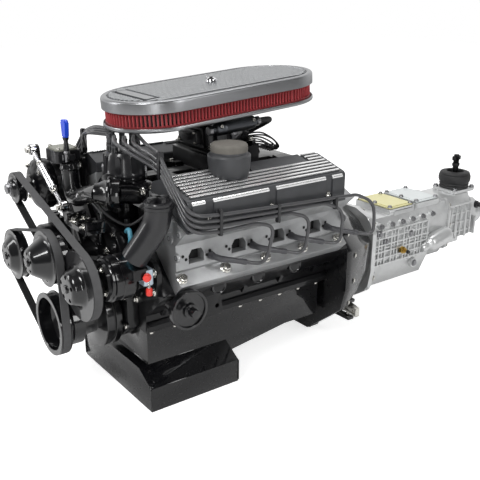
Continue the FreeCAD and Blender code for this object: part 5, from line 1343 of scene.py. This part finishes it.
def coil():
    body = slab(-196, -130, -74, -12.3, 322, 350, 9, 3)
    piece("coil_case", body, BLACK_PLASTIC, replaced=("ignition_coil",))
    piece("coil_lid", slab(-192, -134, -70, -17, 349.5, 354, 7, 1.6), GREY_LAMINATE)
    piece("coil_core", slab(-198.5, -127.5, -60, -28, 330, 342, 2, 0.8), STEEL)
    tower = [(0, -2), (10, -2), (9, 0), (8, 10), (7.6, 20), (0, 20)]
    piece("coil_tower", onto(lathe(tower, steps=28), (-130, -44, 336), (1, 0, 0.1)), BLACK_PLASTIC)
    repeated("coil_screws", socket_screw(4, 4), [((px, py, 353.8), UPWARD, REARWARD) for px in (-187, -139)
                                                 for py in (-64, -23)], ZINC)


WIRE_RADIUS = 4.0
PLUG_HEIGHT = 165.0
LEAD_PITCH = 12.0


def boot_line(side, station):
    """Seat, bend and far end of a plug's boot, beside its exhaust port."""
    y = station + 22
    return (Vector((209 * side, y, PLUG_HEIGHT)), Vector((238 * side, y + 2, PLUG_HEIGHT)),
            Vector((258 * side, y + 58, 151)))


def lead_points(side, index):
    """Corners of one lead from its tower, through the separators, to its boot."""
    tower = tower_places()[3 - index if side == LEFT else 4 + index]
    level = 236 + LEAD_PITCH * index
    front = 30 if side == LEFT else 8
    _, bend, end = boot_line(side, bore_stations(side)[index])
    heading = (end - bend).normalized()
    return [Vector((*tower, 380)),
            Vector((*tower, 402)),
            Vector(((76 + 14 * index) * side, (-32, -18, -4, 20)[index], 402)),
            Vector((150 * side, front, 352 + LEAD_PITCH * index)),
            Vector((266 * side, front, level + 8)),
            Vector((266 * side, front + 76, level)),
            Vector((266 * side, end.y + 20 - 12 * index, level - 7 * index)),
            Vector((268 * side, end.y + 70 - 9 * index, level - 14 - 12 * index)),
            end + heading * 46,
            end - heading * 6]


def plug_leads():
    """Eight silicone leads from the cap, held by separators, to the boots of the plugs."""
    leads, boots = [], []
    tower_boot = [(0, 0), (7.6, 0), (7.6, 3), (6.6, 4), (6.3, 16), (6.9, 17), (6.9, 19), (5.4, 20),
                  (4.8, 26), (0, 26)]
    for side in (LEFT, RIGHT):
        for index in range(4):
            corners = lead_points(side, index)
            leads.append(tube(rounded(corners, 70, closed=False, steps=7), WIRE_RADIUS, 12, per_span=3))
            seat, bend, end = boot_line(side, bore_stations(side)[index])
            elbow = rounded([seat, bend, end], 22, closed=False, steps=6)
            boots.append(tube(elbow, 7.2, 16, per_span=3, taper=5.6))
            boots.append(rod(seat, seat + Vector((14 * side, 0, 0)),
                             [(0, 0), (8.6, 0.0), (8.8, 0.2), (8.4, 0.6), (7, 1), (0, 1)]))
            heading = (end - bend).normalized()
            boots.append(rod(end - heading * 9, end + heading * 3,
                             [(0, 0), (6.4, 0), (6.6, 0.3), (6.4, 0.8), (5, 1), (0, 1)]))
            foot = Matrix.Translation(corners[0] - Vector((0, 0, 2)))
            boots.append(swung(lathe(tower_boot, steps=20), foot))
    piece("plug_leads", leads, WIRE_GREY, replaced=("plug_wires",))
    piece("plug_boots", boots, BOOT_GREY, replaced=("spark_plugs",))


def separators():
    """Clips that hold the leads side by side."""
    bars = []
    for side, front in ((LEFT, 30), (RIGHT, 8)):
        upper = prism(rounded([(-8, -6), (50, -6), (50, 6), (-8, 6)], 4), "XY", -5, 5, 1.5)
        turn = Matrix.Rotation(math.radians(-90), 4, "Y")
        bars.append(swung(upper, Matrix.Translation((158 * side, front, 342)) @ turn))
        for y in (104, 256, 425):
            middle = y if side == LEFT else y - 22
            x0, x1 = sorted((259 * side, 273 * side))
            bars.append(slab(x0, x1, middle - 4, middle + 4, 228, 284 if y < 200 else 270 if y < 300
                             else 256, 4, 1.4))
    piece("lead_separators", bars, BLACK_PLASTIC)


# Throttle body, fuel rail and their wiring, in the tilted frame

def throttle():
    x_wide, reach, middle, bottom = 75, 65, 275, 350
    waist = x_wide - 27
    flange = piece("throttle_flange", slab(-x_wide, x_wide, middle - reach, middle + reach, bottom,
                                           bottom + 12, 10, 2), BLACK_POWDER,
                   tilted=True)
    bore = [(0, bottom - 4), (21.4, bottom - 4), (21.4, bottom + 16), (0, bottom + 16)]
    cut_away(flange, [lathe(bore, "Z", (x, middle + y, 0), 56) for x in (-22, 22) for y in (-22, 22)], True)
    body = softened("throttle_body", BLACK_POWDER, 1.6)
    body.name = "throttle_casting"
    corners = [(sx * 66, middle + sy * 56) for sx in (-1, 1) for sy in (-1, 1)]
    bolts = [((x, y, bottom + 12), UPWARD, REARWARD) for x, y in corners]
    bolt_heads("throttle_flange_bolts", (13, 8, 10), bolts, tilted=True)
    modules = merged(slab(waist - 1, waist + 15, 214, 268, 366, 404, 5, 2),
                     slab(-waist - 15, -waist + 1, 225, 330, 368, 402, 5, 2),
                     prism(rounded([(-38, 368), (38, 368), (38, 402), (-38, 402)], 5), "XZ",
                           middle - reach - 12, middle - reach + 1, 2))
    piece("throttle_sensor_boxes", modules, BLACK_PLASTIC, tilted=True)
    screws = [((waist + 15, y, z), LEFTWARD, UPWARD) for y in (220, 262) for z in (372, 398)]
    screws += [((x, middle - reach - 12, z), FRONTWARD, UPWARD) for x in (-32, 32) for z in (373, 397)]
    repeated("throttle_box_screws", socket_screw(3.4, 3.4), screws, ZINC, tilted=True)
    connectors = [slab(waist + 14, waist + 26, 232, 250, 376, 392, 2, 1),
                  slab(-12, 14, 188, 200, 378, 394, 2, 1)]
    piece("throttle_connectors", connectors, BLACK_PLASTIC, tilted=True)
    lever = softened("throttle_shaft", STEEL, 0.5)
    lever.name = "throttle_spindle"
    spring = []
    for index in range(5):
        spring.append(lathe([(8.4, 49.5 + index), (9.2, 49.9 + index), (8.4, 50.3 + index),
                             (7.6, 49.9 + index)], "X", (0, 297, 380), 24, closed=True))
    piece("throttle_spring", spring, STEEL, tilted=True)


def rail():
    x, z = 70, 404
    profile = [(0, 221), (9, 221), (10, 222), (10, 227), (14, 229), (15, 231), (15, 250), (15.6, 251),
               (15.6, 257), (15, 258), (15, 336), (14, 339), (10, 341), (10, 346), (0, 346)]
    piece("fuel_rail_tube", lathe(profile, "Y", (x, 0, z), 48), GUN_GREY,
          replaced=("fuel_rail",), tilted=True)
    feet = [slab(48.3, 72, y, y + 14, 391, 403, 2, 1) for y in (232, 322)]
    piece("fuel_rail_feet", feet, GUN_GREY, tilted=True)
    bolt_heads("fuel_rail_nuts", (20, 10), [((x, 221, z), FRONTWARD, UPWARD),
                                            ((x, 346, z), REARWARD, UPWARD)], STEEL, tilted=True)
    repeated("fuel_rail_screws", socket_screw(4.4, 5), [((x + 13, 239, z + 7), (0.9, 0, 0.4), REARWARD),
                                                        ((x + 13, 329, z + 7), (0.9, 0, 0.4), REARWARD)],
             ZINC, tilted=True)
    hose = tube([(70, 352, 404), (70, 376, 404), (60, 400, 398), (20, 410, 380), (-20, 404, 360),
                 (-34, 372, 344)], 6.5, 14)
    piece("fuel_return_hose", hose, RUBBER, tilted=True)


def harness():
    """Thin loom wires and their sockets behind the throttle body."""
    wires = []
    for index in range(7):
        lift = 8 * math.sin(index * 1.7)
        spread = 9 * index
        wires.append(tube([(44, 318, 372 - 3 * index), (74 + lift, 344, 388 - 6 * index),
                           (92, 372 + lift, 372 - 5 * index), (86 - 0.6 * spread, 404, 346 - 3 * index),
                           (58 - spread, 420, 332), (30 - spread, 418, 322)], 1.9, 8))
    piece("throttle_loom", wires, RUBBER)
    wraps = []
    for index in range(3):
        wraps.append(rod((66 - 20 * index, 410, 339 - 2 * index), (58 - 20 * index, 414, 335 - 2 * index),
                         [(0, 0), (6, 0), (6.6, 0.3), (6.6, 0.7), (6, 1), (0, 1)], 16))
    piece("throttle_loom_clips", wraps, BLACK_PLASTIC)


def manifold_dressing():
    """Runner crowns and bolts of the inlet manifold."""
    runners = []
    for side in (LEFT, RIGHT):
        for station in bore_stations(side):
            y = station + 12
            outline = rounded([(30 * side, 292), (98 * side, 279), (101 * side, 293), (60 * side, 309),
                               (30 * side, 312)], 8)
            runners.append(prism(outline, "XZ", y - 19, y + 19, 7, 4))
    piece("manifold_runners", runners, BLACK_CASTING)
    bolts = [((92 * side, y, 297.5), (0.35 * side, 0, 1), REARWARD) for side in (LEFT, RIGHT)
             for y in (48, 128, 208, 345, 432, 470)]
    bolt_heads("manifold_bolts", (13, 8, 10), bolts)


def dipstick_set():
    route = [(-34, -14, 200.3), (-34, -14, 214), (-36, -15, 224), (-78, -34, 262), (-119, -51, 296),
             (-121, -52, 308), (-121, -52, 352)]
    piece("dipstick_pipe", tube(route, 5, 16), STEEL, replaced=("dipstick_tube",))
    piece("dipstick_pipe_lip", lathe([(0, 345), (6.4, 345), (7, 346), (7, 350), (6, 352), (0, 352)], "Z",
                                     (-121, -52, 0), 24), STEEL)
    stem = lathe([(0, 352.4), (6, 352.4), (6.4, 354), (6.4, 362), (5.6, 364), (5, 376), (6.8, 380),
                  (7.4, 384), (0, 384)], "Z", (-121, -52, 0), 32)
    piece("dipstick_stem", stem, BLACK_PLASTIC, "dipstick_body", ("dipstick",))
    handle = prism(rounded([(-129, 382), (-113, 382), (-109, 420), (-112, 424), (-130, 424), (-133, 420)], 5),
                   "XZ", -57, -47, 3, 4)
    piece("dipstick_handle", handle, BLUE_PLASTIC, "dipstick_body")
    blade = piece("dipstick_blade", rod((-121, -52, 318), (-121, -52, 358),
                                        [(0, 0), (1.8, 0), (1.8, 1), (0, 1)], 10), STEEL, None)
    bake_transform(blade)


# Clutch housing, gearbox and shifter

CASE_START = 703.9
TAIL_START = 1089.2
TAIL_END = 1319.2
LEVER_STATION = 1208.0


def bell_dressing():
    """Bolt bosses round the housing's flange and ribs down its cone."""
    corners = [(60, 178), (112, 152), (160, 108), (190, 60), (190, -10), (176, -78), (66, -172)]
    places, bosses = [], []
    for side in (LEFT, RIGHT):
        for x, z in corners:
            bosses.append(lathe([(0, 538.8), (13, 538.8), (14, 540), (13, 566), (11, 568), (0, 568)], "Y",
                                (x * side, 0, z), 28))
            places.append(((x * side, 568, z), REARWARD, UPWARD))
    piece("bell_bolt_bosses", bosses, BLACK_ENAMEL)
    bolt_heads("bell_bolts", (15, 10, 11.5), places)
    ribs = []
    for side in (LEFT, RIGHT):
        for x, z in ((150, 100), (176, 30), (100, 148), (40, 172)):
            start = Vector((x * side, 566, z))
            end = Vector((x * side * 0.66, 700, z * 0.66))
            ribs.append(tube([start, start.lerp(end, 0.5), end], 5, 10))
    piece("bell_ribs", ribs, BLACK_ENAMEL)
    fork_bolt = [((160, 597, -79), UPWARD, REARWARD)]
    bolt_heads("fork_pin_head", (14, 5, 8), fork_bolt, ZINC, "fork")


def gearbox():
    """Webs and bosses of the ribbed case, its flared front, covers, sensor, side boss and plugs."""
    webs = []
    start = CASE_START
    for side in (LEFT, RIGHT):
        for index in range(11):
            y = start + 16 + index * 26
            web = rounded([(82, -56), (94, -50), (95, 50), (82, 60)], 4)
            webs.append(prism(flipped(side, web), "XZ", y - 2.2, y + 2.2, 1.2, 2))
        for index in range(6):
            z = -50 + index * 20
            web = rounded([(start + 10, z - 2.2), (start + 285, z - 2.2), (start + 285, z + 2.2),
                           (start + 10, z + 2.2)], 1)
            x0, x1 = (82, 93.5) if side == LEFT else (-93.5, -82)
            webs.append(prism(web, "YZ", x0, x1, 1.2, 2))
    piece("gearbox_side_webs", webs, DIE_CAST)
    flare = []
    outline = [(122, -96), (132, -40), (132, 70), (112, 112), (60, 130), (-60, 130), (-112, 112), (-132, 70),
               (-132, -40), (-122, -96), (-70, -132), (70, -132)]
    plate = prism(rounded(outline, 22), "XZ", start, start + 15, 3, 3)
    flare.append(plate)
    for side in (LEFT, RIGHT):
        for z in (-70, -20, 30, 80):
            gusset = [(start + 12, 80), (start + 12, 126), (start + 18, 122), (start + 62, 92),
                      (start + 66, 80)]
            web = prism([(x * side, y) for y, x in gusset], "XY", z - 3, z + 3, 1.5, 2)
            flare.append(web)
    piece("gearbox_flared_front", flare, DIE_CAST)
    corners = ((112, 92), (120, -64), (-112, 92), (-120, -64), (66, 118), (-66, 118))
    bolts = [((x, start + 15, z), REARWARD, UPWARD) for x, z in corners]
    bolt_heads("gearbox_front_bolts", (15, 9, 11), bolts)
    rail_bolts = []
    for side in (LEFT, RIGHT):
        for index in range(7):
            rail_bolts.append(((88 * side, start + 34 + index * 44, 66), (side, 0, 0.2), REARWARD))
    boss = lathe([(0, -6), (10, -6), (9, 2), (0, 2)], steps=20)
    repeated("gearbox_rail_bosses", boss, rail_bolts, DIE_CAST)
    bolt_heads("gearbox_rail_bolts", (12, 7, 8), [((p[0] + 2 * (1 if p[0] > 0 else -1), p[1], p[2]), f, a)
                                                  for p, f, a in rail_bolts], STEEL)
    covers()
    fittings()


def covers():
    for index, (first, finish) in enumerate(((836, YELLOW_COVER), (950, PALE_COVER))):
        plate = slab(-66, 66, first + 2, first + 102, 101.3, 105, 7, 1)
        rim = slab(-58, 58, first + 10, first + 94, 104.5, 106.4, 5, 0.8)
        piece(f"gearbox_cover_{index}", [plate, rim], finish, replaced=("gearbox_covers",))
        ledge = slab(-70, 70, first - 1, first + 105, 94, 101, 9, 2)
        piece(f"gearbox_cover_seat_{index}", ledge, DIE_CAST)
    bolts = [((x, first + y, 105), UPWARD, REARWARD) for first in (836, 950) for x in (-59, 0, 59)
             for y in (9, 95) if not (x == 0 and y == 95)]
    bolt_heads("gearbox_cover_bolts", (10, 6, 7.5), bolts, STEEL)


def fittings():
    """Brass sensor, side boss, vents and plugs of the gearbox."""
    sensor = rod((92, 872, -20), (116, 872, -20), [(0, 0), (11, 0), (11, 0.35), (8, 0.4), (8, 0.6), (5, 0.62),
                                                   (5, 1), (0, 1)], 6)
    piece("gearbox_sensor", sensor, BRASS)
    piece("gearbox_sensor_tip", rod((114, 872, -20), (122, 872, -20),
                                    [(0, 0), (5.4, 0), (6, 0.3), (5, 1), (0, 1)], 20), BLACK_PLASTIC)
    cylinder = rod((92, 960, -36), (96, 1074, -8), [(0, 0), (12, 0), (14, 0.05), (14, 0.2), (24, 0.28),
                                                    (26, 0.34), (26, 0.9), (22, 1), (0, 1)], 44)
    piece("gearbox_side_boss", cylinder, DIE_CAST)
    plugs = [((94, 905, 24), LEFTWARD, UPWARD), ((94, 930, -74), LEFTWARD, UPWARD),
             ((-94, 880, -20), RIGHTWARD, UPWARD), ((-94, 930, -74), RIGHTWARD, UPWARD)]
    seat = lathe([(0, -8), (16, -8), (14, 1), (0, 1)], steps=28)
    repeated("gearbox_plug_seats", seat, plugs, DIE_CAST)
    bolt_heads("gearbox_plugs", (14, 5, 10.5), [((p[0] + (1 if p[0] > 0 else -1), p[1], p[2]), f, a)
                                                for p, f, a in plugs], STEEL)
    vents = []
    for y, z, tip, radius in ((770, 48, 104, 9), (800, 20, 102, 8)):
        profile = [(0, 0), (radius, 0), (radius, 0.6), (radius - 3, 0.7), (radius - 3, 1), (0, 1)]
        vents.append(rod((88, y, z), (tip, y, z), profile, 24))
    piece("gearbox_vents", vents, STEEL)


def tail():
    """Ribs, end collar, seal and bosses of the tail housing."""
    webs = []
    for side in (LEFT, RIGHT):
        for index in range(6):
            y = TAIL_START + 12 + index * 24
            web = rounded([(54, -54), (68, -44), (68, 44), (56, 74), (50, 74)], 5)
            webs.append(prism(flipped(side, web), "XZ", y - 2.4, y + 2.4, 1.3, 2))
        for z in (-30, 0, 30, 58):
            x0, x1 = (54, 65) if side == LEFT else (-65, -54)
            webs.append(prism(rounded([(TAIL_START + 6, z - 2.4), (TAIL_START + 140, z - 2.4),
                                       (TAIL_START + 140, z + 2.4), (TAIL_START + 6, z + 2.4)], 1), "YZ",
                              x0, x1, 1.2, 2))
        for z in (-24, 14):
            start, end = Vector((44 * side, TAIL_START + 128, z)), Vector((34 * side, TAIL_END - 36, z * 0.8))
            webs.append(tube([start, start.lerp(end, 0.5), end], 4.5, 10))
    piece("tail_webs", webs, DIE_CAST)
    flange = prism(rounded([(-78, -70), (78, -70), (84, -30), (84, 60), (66, 92), (-66, 92), (-84, 60),
                            (-84, -30)], 16), "XZ", TAIL_START - 0.1, TAIL_START + 9, 2, 2)
    piece("tail_flange", flange, DIE_CAST)
    corners = ((72, -56), (76, 10), (70, 70), (-72, -56), (-76, 10), (-70, 70))
    bolts = [((x, TAIL_START + 9, z), REARWARD, UPWARD) for x, z in corners]
    bolt_heads("tail_bolts", (13, 8, 10), bolts)
    collar = [(36.2, TAIL_END - 38), (41, TAIL_END - 36), (42, TAIL_END - 30), (42, TAIL_END - 6),
              (40, TAIL_END - 3), (36, TAIL_END - 1), (30, TAIL_END), (22, TAIL_END), (22, TAIL_END - 2),
              (18, TAIL_END - 2.5), (18, TAIL_END - 12), (30, TAIL_END - 12)]
    piece("tail_collar", lathe(collar, "Y", (0, 0, 0), 64, closed=True), DIE_CAST)
    piece("tail_seal", lathe([(17.4, TAIL_END - 1), (26, TAIL_END - 0.6), (27, TAIL_END + 1.4),
                              (24, TAIL_END + 2.4), (18, TAIL_END + 1.4)], "Y", (0, 0, 0), 64, closed=True),
          RUBBER)
    mount = slab(-46, 46, TAIL_START + 44, TAIL_START + 112, -72, -56, 8, 2)
    piece("tail_mount_pad", mount, DIE_CAST)
    plug = rod((58, TAIL_END - 66, 44), (76, TAIL_END - 62, 46),
               [(0, 0), (12, 0), (12, 0.4), (8, 0.5), (8, 1), (0, 1)], 24)
    piece("tail_switch", plug, BLACK_PLASTIC)


def shifter():
    y = LEVER_STATION
    base = piece("shifter_base", slab(-46, 46, y - 50, y + 50, 88.4, 98, 8, 2), DIE_CAST)
    cut_away(base, [lathe([(0, 80), (26, 80), (26, 110), (0, 110)], "Z", (0, y, 0), 48)])
    bolt_heads("shifter_base_bolts", (12, 8, 9), [((sx * 38, y + sy * 42, 98), UPWARD, REARWARD)
                                                  for sx in (-1, 1) for sy in (-1, 1)], STEEL)
    boot = [(26.5, 98.2), (44, 98.2), (46, 101), (44, 106), (46.5, 110), (44.5, 114), (48, 119), (49.6, 124),
            (49.6, 134), (48.5, 139), (46, 141), (47, 144), (44, 148), (36, 150.5), (28, 151), (26.5, 149)]
    piece("shifter_boot", lathe(boot, "Z", (0, y, 0), 72, closed=True), RUBBER, replaced=("shifter_tower",))
    ball = [(0, 92), (12, 92.4), (17, 96), (20.4, 102), (20.8, 107), (19, 112), (14, 116.5), (9.6, 120),
            (9, 128), (9, 176)]
    for index in range(9):
        ball += [(9.4, 177 + index * 2.4), (8.0, 178.2 + index * 2.4)]
    ball += [(8.6, 199), (7.6, 203), (0, 204)]
    piece("shift_lever_rod", lathe(ball, "Z", (0, y, 0), 40), DARK_STEEL, "lever", ("shift_lever",))
    pin = rod((-43, y, 104), (43, y, 104), [(0, 0), (5.4, 0), (5.9, 0.01), (5.9, 0.99), (5.4, 1), (0, 1)], 24)
    piece("shift_lever_pin", pin, STEEL, "lever")
    nut = onto(hex_bolt(22, 10), (0, y, 166), UPWARD)
    clamp = merged(nut, slab(-5, 5, y - 17, y + 17, 186, 198, 3, 1.5))
    piece("shift_lever_nut", clamp, DARK_STEEL, "lever")


make_camera()
make_studio()
front_drive()
timing_and_pump()
front_castings()
adjusting_link()
cooler_compressor()
generator()
steering_pump()
air_cleaner()
for side in (LEFT, RIGHT):
    valve_cover(side)
    head_dressing(side)
breather()
block_dressing()
sump_dressing()
distributor()
coil()
plug_leads()
separators()
throttle()
rail()
harness()
manifold_dressing()
dipstick_set()
bell_dressing()
gearbox()
tail()
shifter()

SOFT_NODES = (
    ("engine_block", BLACK_CASTING, 2.0), ("cylinder_head_left", HEAD_ALUMINIUM, 1.6),
    ("cylinder_head_right", HEAD_ALUMINIUM, 1.6), ("oil_pan", BLACK_ENAMEL, 2.0),
    ("timing_cover", BLACK_CASTING, 2.0), ("water_pump", BLACK_CASTING, 2.0),
    ("intake_manifold", BLACK_CASTING, 2.0), ("block_plate", BLACK_ENAMEL, 0.6),
    ("bell_housing", BLACK_ENAMEL, 2.0), ("clutch_fork", ZINC, 1.2), ("gearbox_case", DIE_CAST, 2.0),
    ("tail_housing", DIE_CAST, 2.0), ("output_shaft", STEEL, 0.8), ("oil_filter_adapter", BLACK_POWDER, 1.0),
)
for node, finish, width in SOFT_NODES:
    softened(node, finish, width)
for node in ("crankshaft", "camshaft", "crank_sprocket", "cam_sprocket", "timing_chain",
             "flywheel_and_clutch", "distributor_rotor"):
    painted(node, STEEL)
painted("head_gaskets", GASKET)
